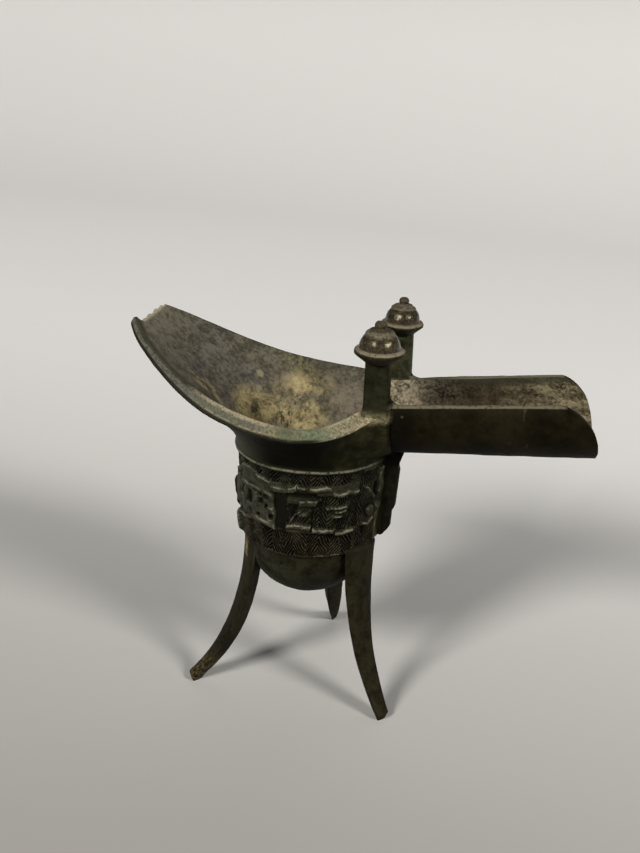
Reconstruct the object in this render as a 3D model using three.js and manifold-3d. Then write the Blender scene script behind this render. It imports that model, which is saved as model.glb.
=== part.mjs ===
// A bronze jue: a three legged wine cup with a pointed tail and a long open spout, cast in one.
// Millimetres, +Z up. X runs from the tail to the spout and Y from the plain side to the handle.
// While it is shaped, the axis of the round cup stands on x = 0, y = 0, with the floor at z = 0.
import * as THREE from 'three';
import Module from 'manifold-3d';
import { mergeVertices } from 'three/addons/utils/BufferGeometryUtils.js';

// Round cup
const AROUND = 60;
const CUP_BOTTOM_Z = 41;
const BOTTOM_RINGS = [10, 30, 52, 72];
const BOTTOM_EDGE_Z = 65;
const BOTTOM_EDGE_RADIUS = 25.2;
const BAND_BOTTOM_Z = 66;
const BAND_BOTTOM_RADIUS = 26.9;
const BAND_EDGE_RADIUS = 25.9;
const BAND_EDGE_HEIGHT = 1.2;
const BAND_TOP_Z = 101.4;
const BAND_TOP_RADIUS = 28.9;
const RING_Z = 102.7;
const RING_RADIUS = 30.1;
const RING_HALF_HEIGHT = 0.5;
const NECK_Z = 104.2;
const NECK_RADIUS = 29.5;
const WALL = 3;
const FLARE_KNEE = 0.45;
const FLARE_KNEE_TAIL = 0.2;
const FLARE_STEPS = 6;

// Mouth: half an ellipse towards the tail and a shorter half towards the spout
const MOUTH_CENTRE_X = 3;
const MOUTH_HALF_WIDTH = 37.6;
const MOUTH_TO_TAIL = 75;
const MOUTH_TO_SPOUT = 23.5;
const MOUTH_Z = 122.6;
const TAIL_RISE = 27;
const SPOUT_RISE = 4.7;

// Lip: a face that falls outwards from the crest of the rim, and a thin edge below it
const LIP_WIDTH = 3.1;
const LIP_TAIL_WIDTH = 1.9;
const LIP_SPOUT_WIDTH = 2;
const LIP_DROP = 2.6;
const LIP_TAIL_DROP = 1.7;
const LIP_SPOUT_DROP = 5;
const LIP_EDGE = 0.9;
const LIP_UNDERCUT = 1.6;
const CREST = 0.7;

// Broken end of the tail: points across it as y and x
const BREAK_LINE = [
  [-16, -72], [-12.6, -70.6], [-10.6, -70.2], [-9.9, -67.4], [-4, -67.5], [-1, -67.9],
  [1, -67.3], [5, -68], [7, -67.6], [10, -67.9], [12, -67.2], [16, -67],
];
const BREAK_BEYOND_X = -140;

// Spout: a channel of U section that climbs away from the cup
const SPOUT_TILT = THREE.MathUtils.degToRad(8.9);
const SPOUT_ROOT_X = 8;
const SPOUT_END_X = 109.4;
const SPOUT_TOP_Z = 129.3;
const SPOUT_TOP_AT_X = 38;
const SPOUT_HALF_WIDTH = 17.2;
const SPOUT_END_HALF_WIDTH = 19;
const SPOUT_STRAIGHT_SIDE = 6.3;
const SPOUT_WALL = 2.3;
const SPOUT_ARC_STEPS = 12;
const SPOUT_END_ROUND_X = 15;
const SPOUT_END_ROUND_Z = 17.5;
const SPOUT_END_SKEW = 0.17;
const SPOUT_END_STEPS = 8;
const COLLAR_END_X = 33.6;
const COLLAR_PROUD = 1.3;
const COLLAR_LOW_X = 30;
const COLLAR_LOW_Z = 103.2;
const COLLAR_RISE = 5;

// Sides of the neck and lip that are drawn out to the collar
const SIDE_TURN = THREE.MathUtils.degToRad(50);
const SIDE_FULL_TURN = THREE.MathUtils.degToRad(30);
const SIDE_LOW_TOP_Z = 120.3;
const SIDE_TOP_Z = 126.4;
const SIDE_SUNK = 0.3;
const SIDE_ROWS = 8;
// Top of the sides, as steps inwards and upwards from their edge
const SIDE_TOP_STEPS = [[0, 0], [1.4, 1], [3, 1.4], [7, 1.4]];
// Points of a row, from the middle of the collar to the corner, along the drawn out side, and round the neck
const SIDE_TO_CORNER = [0, 0.5];
const SIDE_ALONG = [0, 0.25, 0.5, 0.75];
const SIDE_ROUND = [0, 0.3, 0.65];

// Posts on the rim and their capped heads
const POST_X = 28.4;
const POST_Y = 18;
const POST_SIZE_X = 8.8;
const POST_SIZE_Y = 6;
const POST_TOP_Z = 147;
const POST_FOOT_Z = 117;
const POST_FOOT_Y = 16.7;
const POST_FOOT_SIZE_Y = 3;
const POST_CORNER = 1.4;
const POST_SWELL_Z = 125.1;
const POST_SWELL = 1;
const POST_WAIST_Z = 129;
const CAP_Z = 145.4;
const CAP_RADII = [8.1, 9.1];
const CAP_HEIGHTS = [14.4, 15.2];
const CAP_AROUND = 20;
// Turned profile of a head, as shares of its brim radius and of its height
const CAP_PROFILE = [
  [0, 0], [0.48, 0], [0.8, 0.14], [0.98, 0.235], [1, 0.28], [0.9, 0.33], [0.815, 0.36], [0.81, 0.42],
  [0.74, 0.56], [0.59, 0.68], [0.58, 0.715], [0.44, 0.735], [0.43, 0.78], [0.22, 0.81], [0.24, 0.89],
  [0.16, 0.98], [0, 1],
];
const CUP_TOP_Z = CAP_Z + Math.max(...CAP_HEIGHTS);

// Legs: three cornered blades with a flat outer face
const LEG_TOP_Z = 67;
const LEG_STATIONS = 9;
const FOOT_RADIUS = 46.4;
const TOE_RADIUS = 47.4;
const TOE_Z = 2.6;
const FOOT_LENGTH = 3.8;
const LEG_DEPTH = 6.8;
const LEG_ANKLE_Z = 17;
const LEG_BOWL_RADIUS = 27;
const TOE_TAPER = 0.8;
const LEG_WAIST = 0.8;
const LEG_WAIST_Z = 42;
const LEG_SWEEP = 0.2;
const LEG_SWEEP_Z = 19;
// Section of a leg, as shares of its depth inwards and of its width sideways
const LEG_SECTION = [
  [0, -0.42], [0, 0.42], [0.16, 0.5], [0.34, 0.43], [0.92, 0.12],
  [1, 0], [0.92, -0.12], [0.34, -0.43], [0.16, -0.5],
];
// Widths are at the foot, at the ankle and at the top
const LEGS = [
  { topRadius: 26.2, topAngle: 77, footAngle: 89, widths: [2.4, 7.6, 12.6] },
  { topRadius: 25.6, topAngle: 209, footAngle: 209, widths: [5.2, 8.6, 18.5] },
  { topRadius: 28.2, topAngle: 337, footAngle: 329.5, widths: [5.2, 8.6, 18.5] },
];

// Handle: a flat strap bowed out over the leg behind
const HANDLE_WIDTH = 9;
const HANDLE_THICK = 3.4;
const HANDLE_TOP_Z = 97.5;
const HANDLE_FOOT_Z = 71.5;
const HANDLE_REACH = 45;
const HANDLE_BOW_Y = 31;
const HANDLE_ROOT = 1.5;
const HANDLE_STEPS = 18;

// Cast ornament of the band: two masks, each with a nose ridge under the spout or under the tail
const RELIEF_ROOT = 1.2;
const BAR_SLOPE = 0.4;
const BAR_END_ANGLE = 0.9;
const BAR_PIECE_ANGLE = 8;
const FLANGE_THICK = 4.2;
const FLANGE_BEVEL = 0.6;
// Side views of the nose ridges as distance from the axis and height
const SPOUT_RIDGE = [
  [25.7, 68.6], [28.85, 68.6], [31.8, 72.4], [32, 79.7], [33.1, 81.1], [34.2, 97.2], [33.4, 98.6],
  [35.1, 102.7], [36.2, 105.3], [36.2, 107], [25.7, 107],
];
const TAIL_RIDGE = [
  [25.7, 71], [28.4, 71], [30.1, 73], [30.2, 76.1], [30.8, 77.5], [31.4, 82.7], [30.3, 84.8], [25.7, 84.8],
];
const EYE_RADIUS = 2.5;
const EYE_FLATNESS = 0.75;
const EYE_ANGLE = 19;
const EYE_Z = 82.5;

// Bars of the masks on the plain side: from angle, to angle, low z, high z, height of the relief
const MASK_BARS = [
  [233, 253.2, 94.8, 97, 1],
  [254, 275.4, 93, 95.4, 1.1],
  [276.2, 302, 94.2, 96.5, 1],
  [303, 326, 92, 94.4, 1],
  [275, 291, 88, 90.6, 1],
  [298, 315, 86.2, 88, 0.8],
  [268, 287, 78.5, 80.7, 1],
  [288, 303.4, 77, 79.3, 1.1],
  [304.2, 321, 75.8, 78, 1],
  [218, 257, 89.6, 92, 1],
  [222, 257, 76.8, 79.2, 1],
  [219, 228, 78.6, 90, 0.7],
  [235, 242, 78.6, 90, 0.8],
  [250, 256, 78.6, 85, 0.7],
  [191, 213, 67.4, 77.6, 1.5],
];
// Of these, the ones repeated on the handle side, which is plainer
const HANDLE_SIDE_BARS = [0, 3, 5, 8, 9, 10];

const wasm = await Module();
wasm.setup();

// Solids
function toSolid(geometry) {
  const bare = geometry.clone();
  for (const name of Object.keys(bare.attributes)) {
    if (name !== 'position') bare.deleteAttribute(name);
  }
  const merged = mergeVertices(bare, 1e-4);
  return new wasm.Manifold(new wasm.Mesh({
    numProp: 3,
    vertProperties: new Float32Array(merged.attributes.position.array),
    triVerts: new Uint32Array(merged.index.array),
  }));
}

function toGeometry(solid) {
  const mesh = solid.getMesh();
  const geometry = new THREE.BufferGeometry();
  geometry.setAttribute('position', new THREE.BufferAttribute(mesh.vertProperties, 3));
  geometry.setIndex(new THREE.BufferAttribute(mesh.triVerts, 1));
  return geometry;
}

// A closed skin over rows of points, each row counter clockwise when the next lies towards the eye
function loft(rows) {
  const count = rows[0].length;
  const points = rows.flat();
  const triangles = [];
  for (let r = 0; r + 1 < rows.length; r += 1) {
    for (let i = 0; i < count; i += 1) {
      const j = (i + 1) % count;
      const low = r * count;
      const high = low + count;
      triangles.push(low + i, low + j, high + j, low + i, high + j, high + i);
    }
  }
  const top = (rows.length - 1) * count;
  for (let i = 1; i + 1 < count; i += 1) {
    triangles.push(0, i + 1, i, top, top + i, top + i + 1);
  }
  const geometry = new THREE.BufferGeometry().setFromPoints(points);
  geometry.setIndex(triangles);
  return geometry;
}

const lerp = THREE.MathUtils.lerp;
const degToRad = THREE.MathUtils.degToRad;

function ringOf(radius, z) {
  const row = [];
  for (let i = 0; i < AROUND; i += 1) {
    const turn = (2 * Math.PI * i) / AROUND;
    row.push(new THREE.Vector3(radius * Math.cos(turn), radius * Math.sin(turn), z));
  }
  return row;
}

// A value of the lip at a turn about the cup, from its sizes at the sides, the tail and the spout
function lipSize(turn, side, tail, spout) {
  const along = Math.cos(turn);
  return along > 0 ? lerp(side, spout, along ** 2) : lerp(side, tail, -along);
}

// Rim at a turn about the cup: its crest moved outwards by spread and down by drop
function rimPoint(turn, spread, drop) {
  const along = Math.cos(turn);
  const reach = along > 0 ? MOUTH_TO_SPOUT : MOUTH_TO_TAIL;
  const rise = along > 0 ? SPOUT_RISE : TAIL_RISE;
  const out = new THREE.Vector2(along / reach, Math.sin(turn) / MOUTH_HALF_WIDTH).normalize();
  return new THREE.Vector3(
    MOUTH_CENTRE_X + reach * along + spread * out.x,
    MOUTH_HALF_WIDTH * Math.sin(turn) + spread * out.y,
    MOUTH_Z + rise * along ** 2 - drop,
  );
}

// Row of the rim at a share of the lip's width and drop, moved further outwards and down
function rimRow(share, outwards, down) {
  const row = [];
  for (let i = 0; i < AROUND; i += 1) {
    const turn = (2 * Math.PI * i) / AROUND;
    const width = lipSize(turn, LIP_WIDTH, LIP_TAIL_WIDTH, LIP_SPOUT_WIDTH);
    const drop = lipSize(turn, LIP_DROP, LIP_TAIL_DROP, LIP_SPOUT_DROP);
    row.push(rimPoint(turn, share * width + outwards, share * drop + down));
  }
  return row;
}

// Rows between the neck and the rim that rise straight at first and then flare outwards
function flareRows(neckRow, rim) {
  const rows = [];
  for (let s = 1; s < FLARE_STEPS; s += 1) {
    const t = s / FLARE_STEPS;
    rows.push(neckRow.map((from, i) => {
      const knee = from.clone();
      const towardsTail = Math.max(0, from.x / neckRow[AROUND / 2].x);
      knee.z = lerp(from.z, rim[i].z, lerp(FLARE_KNEE, FLARE_KNEE_TAIL, towardsTail));
      return new THREE.QuadraticBezierCurve3(from, knee, rim[i]).getPoint(t);
    }));
  }
  return rows;
}

// Rounded bottom as rings from the lowest point up to the edge
function bottomRows(bottomZ, edgeZ, edgeRadius) {
  const rows = [];
  for (const lift of BOTTOM_RINGS) {
    const angle = degToRad(lift);
    rows.push(ringOf(edgeRadius * Math.sin(angle), edgeZ - (edgeZ - bottomZ) * Math.cos(angle)));
  }
  rows[0].forEach((point) => point.setZ(bottomZ));
  return rows;
}

function cupOuter() {
  const neck = ringOf(NECK_RADIUS, NECK_Z);
  const under = rimRow(1, -LIP_UNDERCUT, LIP_EDGE + LIP_UNDERCUT / 2);
  const below = rimRow(1, 0, LIP_EDGE);
  const edge = rimRow(1, 0, 0);
  const crest = rimRow(0, 0, 0);
  return loft([
    ...bottomRows(CUP_BOTTOM_Z, BOTTOM_EDGE_Z, BOTTOM_EDGE_RADIUS),
    ringOf(BOTTOM_EDGE_RADIUS, BOTTOM_EDGE_Z),
    ringOf(BAND_EDGE_RADIUS, BAND_BOTTOM_Z),
    ringOf(BAND_BOTTOM_RADIUS, BAND_BOTTOM_Z + BAND_EDGE_HEIGHT),
    ringOf(BAND_TOP_RADIUS, BAND_TOP_Z),
    ringOf(RING_RADIUS, RING_Z - RING_HALF_HEIGHT),
    ringOf(RING_RADIUS, RING_Z + RING_HALF_HEIGHT),
    neck,
    ...flareRows(neck, under),
    under,
    below,
    edge,
    crest,
  ]);
}

// Space inside the cup, carried on upwards past the rim
function cupSpace() {
  const neck = ringOf(NECK_RADIUS - WALL, NECK_Z);
  const rim = rimRow(0, -CREST, CREST / 3);
  const above = rim.map((point) => point.clone().setZ(CUP_TOP_Z + WALL));
  return loft([
    ...bottomRows(CUP_BOTTOM_Z + WALL, BOTTOM_EDGE_Z, BOTTOM_EDGE_RADIUS - WALL),
    ringOf(BOTTOM_EDGE_RADIUS - WALL, BOTTOM_EDGE_Z),
    ringOf(BAND_TOP_RADIUS - WALL, BAND_TOP_Z),
    neck,
    ...flareRows(neck, rim),
    rim,
    above,
  ]);
}

// What the break has taken off the tail: everything beyond a crooked edge
function lostTail() {
  const outline = new THREE.Shape();
  outline.moveTo(BREAK_BEYOND_X, -MOUTH_HALF_WIDTH);
  for (const [y, x] of BREAK_LINE) outline.lineTo(x, y);
  outline.lineTo(BREAK_BEYOND_X, MOUTH_HALF_WIDTH);
  return new THREE.ExtrudeGeometry(outline, { depth: CUP_TOP_Z, bevelEnabled: false });
}

// U shaped section of the spout, from its top on the plain side down and round to the far top
function spoutRow(x, proud, lift) {
  const t = (x - SPOUT_TOP_AT_X) / (SPOUT_END_X - SPOUT_TOP_AT_X);
  const half = lerp(SPOUT_HALF_WIDTH, SPOUT_END_HALF_WIDTH, t) + proud;
  const top = SPOUT_TOP_Z + (x - SPOUT_TOP_AT_X) * Math.tan(SPOUT_TILT);
  const arcZ = top - SPOUT_STRAIGHT_SIDE;
  const row = [new THREE.Vector3(x, -half, top + lift)];
  for (let i = 0; i <= SPOUT_ARC_STEPS; i += 1) {
    const turn = (Math.PI * i) / SPOUT_ARC_STEPS;
    row.push(new THREE.Vector3(x, -half * Math.cos(turn), arcZ - half * Math.sin(turn)));
  }
  row.push(new THREE.Vector3(x, half, top + lift));
  return row;
}

function spoutLength(fromX, toX, proud, lift) {
  return loft([spoutRow(fromX, proud, lift), spoutRow(toX, proud, lift)]);
}

// Far end of the collar at a height: it draws back towards the neck below the spout
function collarEnd(z) {
  const up = THREE.MathUtils.clamp((z - COLLAR_LOW_Z) / COLLAR_RISE, 0, 1);
  return lerp(COLLAR_LOW_X, COLLAR_END_X, up);
}

function collar() {
  const rows = [SPOUT_ROOT_X, COLLAR_END_X].map((x) => spoutRow(x, COLLAR_PROUD, 0));
  rows.flat().forEach((point) => point.setX(Math.min(point.x, collarEnd(point.z))));
  return loft(rows);
}

// Row of the drawn out sides at a share of their height, moved inwards and up. Each row leaves the
// round neck along a tangent to the collar's corner and is closed straight across the collar's end
function sideRow(neckRadius, share, inwards, lift) {
  const cornerZ = lerp(COLLAR_LOW_Z, SIDE_TOP_Z, share);
  const radius = neckRadius(cornerZ) - SIDE_SUNK;
  const endX = collarEnd(cornerZ) - SIDE_SUNK / 2;
  const half = SPOUT_HALF_WIDTH + COLLAR_PROUD;
  const arcZ = SPOUT_TOP_Z + (COLLAR_END_X - SPOUT_TOP_AT_X) * Math.tan(SPOUT_TILT) - SPOUT_STRAIGHT_SIDE;
  const below = Math.max(0, arcZ - cornerZ);
  const endY = Math.max(SIDE_SUNK, Math.sqrt(Math.max(0, half ** 2 - below ** 2)) - SIDE_SUNK / 2);
  const cornerTurn = Math.atan2(endY, endX);
  const leaveTurn = cornerTurn + Math.acos(radius / Math.hypot(endX, endY));
  const turns = [
    ...SIDE_TO_CORNER.map((t) => lerp(0, cornerTurn, t)),
    ...SIDE_ALONG.map((t) => lerp(cornerTurn, leaveTurn, t)),
    ...SIDE_ROUND.map((t) => lerp(leaveTurn, Math.PI, t)),
  ];
  const mirrored = turns.slice(1).reverse().map((turn) => -turn);
  return [...turns, Math.PI, ...mirrored].map((turn) => {
    const away = Math.abs(turn);
    const onEnd = away <= cornerTurn;
    const reach = onEnd ? endX / Math.cos(away) : radius / Math.cos(Math.min(0, away - leaveTurn));
    const risen = THREE.MathUtils.clamp((SIDE_TURN - away) / (SIDE_TURN - SIDE_FULL_TURN), 0, 1);
    const z = lerp(COLLAR_LOW_Z, lerp(SIDE_LOW_TOP_Z, SIDE_TOP_Z, risen), share);
    return new THREE.Vector3(Math.cos(turn), Math.sin(turn), 0)
      .multiplyScalar(reach - inwards)
      .setZ(z + lift);
  });
}

function neckSides() {
  const neck = ringOf(NECK_RADIUS, NECK_Z);
  const under = rimRow(1, -LIP_UNDERCUT, LIP_EDGE + LIP_UNDERCUT / 2);
  const beside = Math.round((AROUND * SIDE_TURN) / (2 * Math.PI));
  const line = [neck, ...flareRows(neck, under), under].map((row) => row[beside]);
  const neckRadius = (z) => {
    const above = line.findIndex((point) => point.z > z);
    if (above === 0) return NECK_RADIUS;
    const to = above < 0 ? line[line.length - 1] : line[above];
    const from = above < 0 ? to : line[above - 1];
    const t = from === to ? 1 : (z - from.z) / (to.z - from.z);
    return lerp(Math.hypot(from.x, from.y), Math.hypot(to.x, to.y), t);
  };
  const rows = [];
  for (let i = 0; i < SIDE_ROWS; i += 1) rows.push(sideRow(neckRadius, i / SIDE_ROWS, 0, 0));
  for (const [inwards, lift] of SIDE_TOP_STEPS) rows.push(sideRow(neckRadius, 1, inwards, lift));
  return loft(rows);
}

// Side view of the spout's rounded end, a little longer on the plain side than on the handle side
function spoutEnd() {
  const roundX = SPOUT_END_X - SPOUT_END_ROUND_X;
  const endTop = SPOUT_TOP_Z + (roundX - SPOUT_TOP_AT_X) * Math.tan(SPOUT_TILT);
  const bottom = RING_Z - WALL;
  const outline = new THREE.Shape();
  outline.moveTo(0, bottom);
  outline.lineTo(SPOUT_END_X, bottom);
  outline.lineTo(SPOUT_END_X, endTop - SPOUT_END_ROUND_Z);
  outline.absellipse(
    roundX, endTop - SPOUT_END_ROUND_Z,
    SPOUT_END_ROUND_X, SPOUT_END_ROUND_Z, 0, Math.PI / 2,
  );
  outline.lineTo(0, endTop);
  const width = 4 * SPOUT_END_HALF_WIDTH;
  const geometry = new THREE.ExtrudeGeometry(outline, {
    depth: width,
    bevelEnabled: false,
    curveSegments: SPOUT_END_STEPS,
  });
  geometry.rotateX(Math.PI / 2);
  geometry.translate(0, width / 2, 0);
  const position = geometry.attributes.position;
  for (let i = 0; i < position.count; i += 1) {
    const y = position.getY(i);
    position.setX(i, position.getX(i) - SPOUT_END_SKEW * (y + SPOUT_END_HALF_WIDTH));
  }
  return geometry;
}

// Post of rounded square section whose foot draws in under the lip
function post(side) {
  const section = (z, grown, sizeY, y) => {
    const row = [];
    for (let quarter = 0; quarter < 4; quarter += 1) {
      for (const part of [0, 45, 90]) {
        const turn = degToRad(90 * quarter + part);
        const acrossX = Math.sign(Math.cos(degToRad(90 * quarter + 45)));
        const acrossY = Math.sign(Math.sin(degToRad(90 * quarter + 45)));
        row.push(new THREE.Vector3(
          POST_X + acrossX * ((POST_SIZE_X + grown) / 2 - POST_CORNER) + POST_CORNER * Math.cos(turn),
          y + acrossY * (sizeY / 2 - POST_CORNER) + POST_CORNER * Math.sin(turn),
          z,
        ));
      }
    }
    return row;
  };
  const y = side * POST_Y;
  return loft([
    section(POST_FOOT_Z, 0, POST_FOOT_SIZE_Y, side * POST_FOOT_Y),
    section(POST_SWELL_Z, POST_SWELL, POST_SIZE_Y + POST_SWELL / 2, side * (POST_Y + POST_SWELL / 4)),
    section(POST_WAIST_Z, POST_SWELL / 2, POST_SIZE_Y, y),
    section(POST_TOP_Z, 0, POST_SIZE_Y, y),
  ]);
}

// Head of a post: a sloping underside, a sharp brim, a dome, a stepped ring and a knob
function cap(side, brim, height) {
  const profile = CAP_PROFILE.map(([out, up]) => new THREE.Vector2(out * brim, CAP_Z + up * height));
  const geometry = new THREE.LatheGeometry(profile, CAP_AROUND);
  geometry.rotateX(Math.PI / 2);
  geometry.translate(POST_X, side * POST_Y, 0);
  return geometry;
}

// Leg that hangs straight from the band and sweeps out to a blunt toe
function leg({ topRadius, topAngle, footAngle, widths }) {
  const outer = new THREE.CubicBezierCurve(
    new THREE.Vector2(topRadius, LEG_TOP_Z),
    new THREE.Vector2(topRadius - LEG_WAIST, LEG_WAIST_Z),
    new THREE.Vector2(lerp(topRadius, TOE_RADIUS, LEG_SWEEP), LEG_SWEEP_Z),
    new THREE.Vector2(TOE_RADIUS, TOE_Z),
  );
  const [footWidth, ankleWidth, topWidth] = widths;
  // The flat face bends towards the top until it follows the round of the bowl
  const section = (radius, z, width, depth, angle) => {
    const out = new THREE.Vector3(Math.cos(degToRad(angle)), Math.sin(degToRad(angle)), 0);
    const across = new THREE.Vector3(-out.y, out.x, 0);
    return LEG_SECTION.map(([inwards, sideways]) => {
      const bent = (z / LEG_TOP_Z) * ((width * sideways) ** 2 / (2 * LEG_BOWL_RADIUS));
      return new THREE.Vector3(0, 0, z)
        .addScaledVector(out, radius - depth * inwards - bent)
        .addScaledVector(across, width * sideways);
    });
  };
  const rows = [section(FOOT_RADIUS, 0, TOE_TAPER * footWidth, FOOT_LENGTH, footAngle)];
  for (let s = 0; s <= LEG_STATIONS; s += 1) {
    const t = 1 - s / LEG_STATIONS;
    const at = outer.getPoint(t);
    const width = at.y < LEG_ANKLE_Z
      ? lerp(footWidth, ankleWidth, at.y / LEG_ANKLE_Z)
      : lerp(ankleWidth, topWidth, (at.y - LEG_ANKLE_Z) / (LEG_TOP_Z - LEG_ANKLE_Z));
    rows.push(section(at.x, at.y, width, LEG_DEPTH, lerp(topAngle, footAngle, t)));
  }
  return loft(rows);
}

// Strap handle on the side away from the plain one
function handle() {
  const middleZ = (HANDLE_TOP_Z + HANDLE_FOOT_Z) / 2;
  const halfHeight = (HANDLE_TOP_Z - HANDLE_FOOT_Z) / 2;
  const bow = HANDLE_REACH - HANDLE_THICK / 2 - HANDLE_BOW_Y;
  const points = [new THREE.Vector3(0, bandRadius(HANDLE_TOP_Z) - HANDLE_ROOT, HANDLE_TOP_Z)];
  for (let turned = 90; turned >= -90; turned -= 30) {
    const turn = degToRad(turned);
    const z = middleZ + halfHeight * Math.sin(turn);
    points.push(new THREE.Vector3(0, HANDLE_BOW_Y + bow * Math.cos(turn), z));
  }
  points.push(new THREE.Vector3(0, bandRadius(HANDLE_FOOT_Z) - HANDLE_ROOT, HANDLE_FOOT_Z));
  const path = new THREE.CatmullRomCurve3(points);
  const section = new THREE.Shape();
  const halfWidth = HANDLE_WIDTH / 2;
  const halfThick = HANDLE_THICK / 2;
  const corner = HANDLE_THICK / 4;
  section.moveTo(-halfWidth + corner, -halfThick);
  section.lineTo(halfWidth - corner, -halfThick);
  section.lineTo(halfWidth, -halfThick + corner);
  section.lineTo(halfWidth, halfThick - corner);
  section.lineTo(halfWidth - corner, halfThick);
  section.lineTo(-halfWidth + corner, halfThick);
  section.lineTo(-halfWidth, halfThick - corner);
  section.lineTo(-halfWidth, -halfThick + corner);
  return new THREE.ExtrudeGeometry(section, { extrudePath: path, steps: HANDLE_STEPS, bevelEnabled: false });
}

function bandRadius(z) {
  return THREE.MathUtils.mapLinear(
    z, BAND_BOTTOM_Z, BAND_TOP_Z, BAND_BOTTOM_RADIUS, BAND_TOP_RADIUS,
  );
}

// Raised bar of the band between two turns and two heights, narrower on its face than at its root
function bar(fromAngle, toAngle, lowZ, highZ, proud) {
  const pieces = Math.max(1, Math.round((toAngle - fromAngle) / BAR_PIECE_ANGLE));
  const rows = [];
  for (let i = 0; i <= pieces; i += 1) {
    const angle = lerp(fromAngle, toAngle, i / pieces);
    const faceAngle = THREE.MathUtils.clamp(angle, fromAngle + BAR_END_ANGLE, toAngle - BAR_END_ANGLE);
    const at = (radius, z, degrees) => new THREE.Vector3(
      radius * Math.cos(degToRad(degrees)), radius * Math.sin(degToRad(degrees)), z,
    );
    rows.push([
      at(bandRadius(lowZ) - RELIEF_ROOT, lowZ, angle),
      at(bandRadius(highZ) - RELIEF_ROOT, highZ, angle),
      at(bandRadius(highZ) + proud, highZ - BAR_SLOPE, faceAngle),
      at(bandRadius(lowZ) + proud, lowZ + BAR_SLOPE, faceAngle),
    ]);
  }
  return loft(rows);
}

// Nose ridge down the middle of a mask
function ridge(sideView, turned) {
  const outline = new THREE.Shape(sideView.map(([out, z]) => new THREE.Vector2(out, z)));
  const geometry = new THREE.ExtrudeGeometry(outline, {
    depth: FLANGE_THICK - 2 * FLANGE_BEVEL,
    bevelThickness: FLANGE_BEVEL,
    bevelSize: FLANGE_BEVEL,
    bevelOffset: -FLANGE_BEVEL,
    bevelSegments: 1,
  });
  geometry.rotateX(Math.PI / 2);
  geometry.translate(0, FLANGE_THICK / 2 - FLANGE_BEVEL, 0);
  geometry.rotateZ(degToRad(turned));
  return geometry;
}

// Round boss eye of a mask
function eye(angle, z) {
  const geometry = new THREE.SphereGeometry(EYE_RADIUS, 12, 8);
  geometry.scale(EYE_FLATNESS, 1, 1);
  geometry.translate(bandRadius(z), 0, z);
  geometry.rotateZ(degToRad(angle));
  return geometry;
}

// Horns, brow, cheek plate and jaw of the two masks
function ornament() {
  return [
    ridge(SPOUT_RIDGE, 0),
    ridge(TAIL_RIDGE, 180),
    eye(-EYE_ANGLE, EYE_Z),
    eye(EYE_ANGLE, EYE_Z),
    ...MASK_BARS.map((sizes) => bar(...sizes)),
    ...HANDLE_SIDE_BARS.map((i) => {
      const [fromAngle, toAngle, ...sizes] = MASK_BARS[i];
      return bar(360 - toAngle, 360 - fromAngle, ...sizes);
    }),
  ];
}

// The cup is built up solid, hollowed, and given its posts last
const outside = [
  collar(),
  neckSides(),
  ...LEGS.map(leg),
  handle(),
  ...ornament(),
];
const channel = toSolid(spoutLength(SPOUT_ROOT_X, SPOUT_END_X + SPOUT_END_ROUND_X, 0, 0));
let body = toSolid(cupOuter()).subtract(toSolid(lostTail()));
body = body.add(channel.intersect(toSolid(spoutEnd())));
for (const geometry of outside) body = body.add(toSolid(geometry));
body = body.subtract(toSolid(cupSpace()));
body = body.subtract(toSolid(spoutLength(0, 2 * SPOUT_END_X, -SPOUT_WALL, 3 * WALL)));
[1, -1].forEach((side, i) => {
  body = body.add(toSolid(post(side)));
  body = body.add(toSolid(cap(side, CAP_RADII[i], CAP_HEIGHTS[i])));
});

// The origin lies on the floor under the middle of the whole cup
const geometry = toGeometry(body);
geometry.computeBoundingBox();
const middle = geometry.boundingBox.getCenter(new THREE.Vector3());
geometry.translate(-middle.x, -middle.y, -geometry.boundingBox.min.z);
geometry.computeVertexNormals();

const bronze = new THREE.MeshStandardMaterial({ color: 0x3b372b, roughness: 0.55, metalness: 0.8 });
const cup = new THREE.Mesh(geometry, bronze);
cup.name = 'jue_cup';

const jue = new THREE.Group();
jue.add(cup);

export default jue;
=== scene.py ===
import math

import bmesh
import bpy
import numpy as np
from mathutils import Matrix, Vector, noise


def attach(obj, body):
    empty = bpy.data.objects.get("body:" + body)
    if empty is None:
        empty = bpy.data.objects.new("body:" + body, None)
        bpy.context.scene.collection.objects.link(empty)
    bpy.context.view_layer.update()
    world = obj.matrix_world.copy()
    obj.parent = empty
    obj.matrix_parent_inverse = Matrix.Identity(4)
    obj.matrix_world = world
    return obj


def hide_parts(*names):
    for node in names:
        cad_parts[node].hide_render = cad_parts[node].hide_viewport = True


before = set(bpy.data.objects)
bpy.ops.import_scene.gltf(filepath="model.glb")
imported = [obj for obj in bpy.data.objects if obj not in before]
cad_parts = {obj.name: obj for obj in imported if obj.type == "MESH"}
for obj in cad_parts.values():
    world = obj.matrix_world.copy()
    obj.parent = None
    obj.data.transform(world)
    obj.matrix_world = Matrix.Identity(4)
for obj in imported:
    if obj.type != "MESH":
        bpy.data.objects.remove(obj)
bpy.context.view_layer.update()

# Bowl, neck and mouth
# The round body of the cup: a domed bottom, a core behind the ornament, a ring fillet, a concave neck and
# a long oval mouth with a sloping lip. The whole cup is one bronze casting, shaped here in millimetres
# about the bowl's own axis.
CUP_AROUND = 192
CUP_BOTTOM_Z, DOME_Z, DOME_RADIUS = 41, 65, 25.2
BAND_BOTTOM_Z, BAND_TOP_Z = 66, 101.4
BAND_BOTTOM_RADIUS, BAND_TOP_RADIUS = 26.9, 28.9
CORE_RADIUS = 25.4
NECK_Z, NECK_RADIUS = 104.2, 29.5
WALL = 3
MOUTH_X, MOUTH_Z, MOUTH_HALF_WIDTH = 3, 122.6, 37.6
MOUTH_TO_TAIL, MOUTH_TO_SPOUT = 75, 23.5
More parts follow.
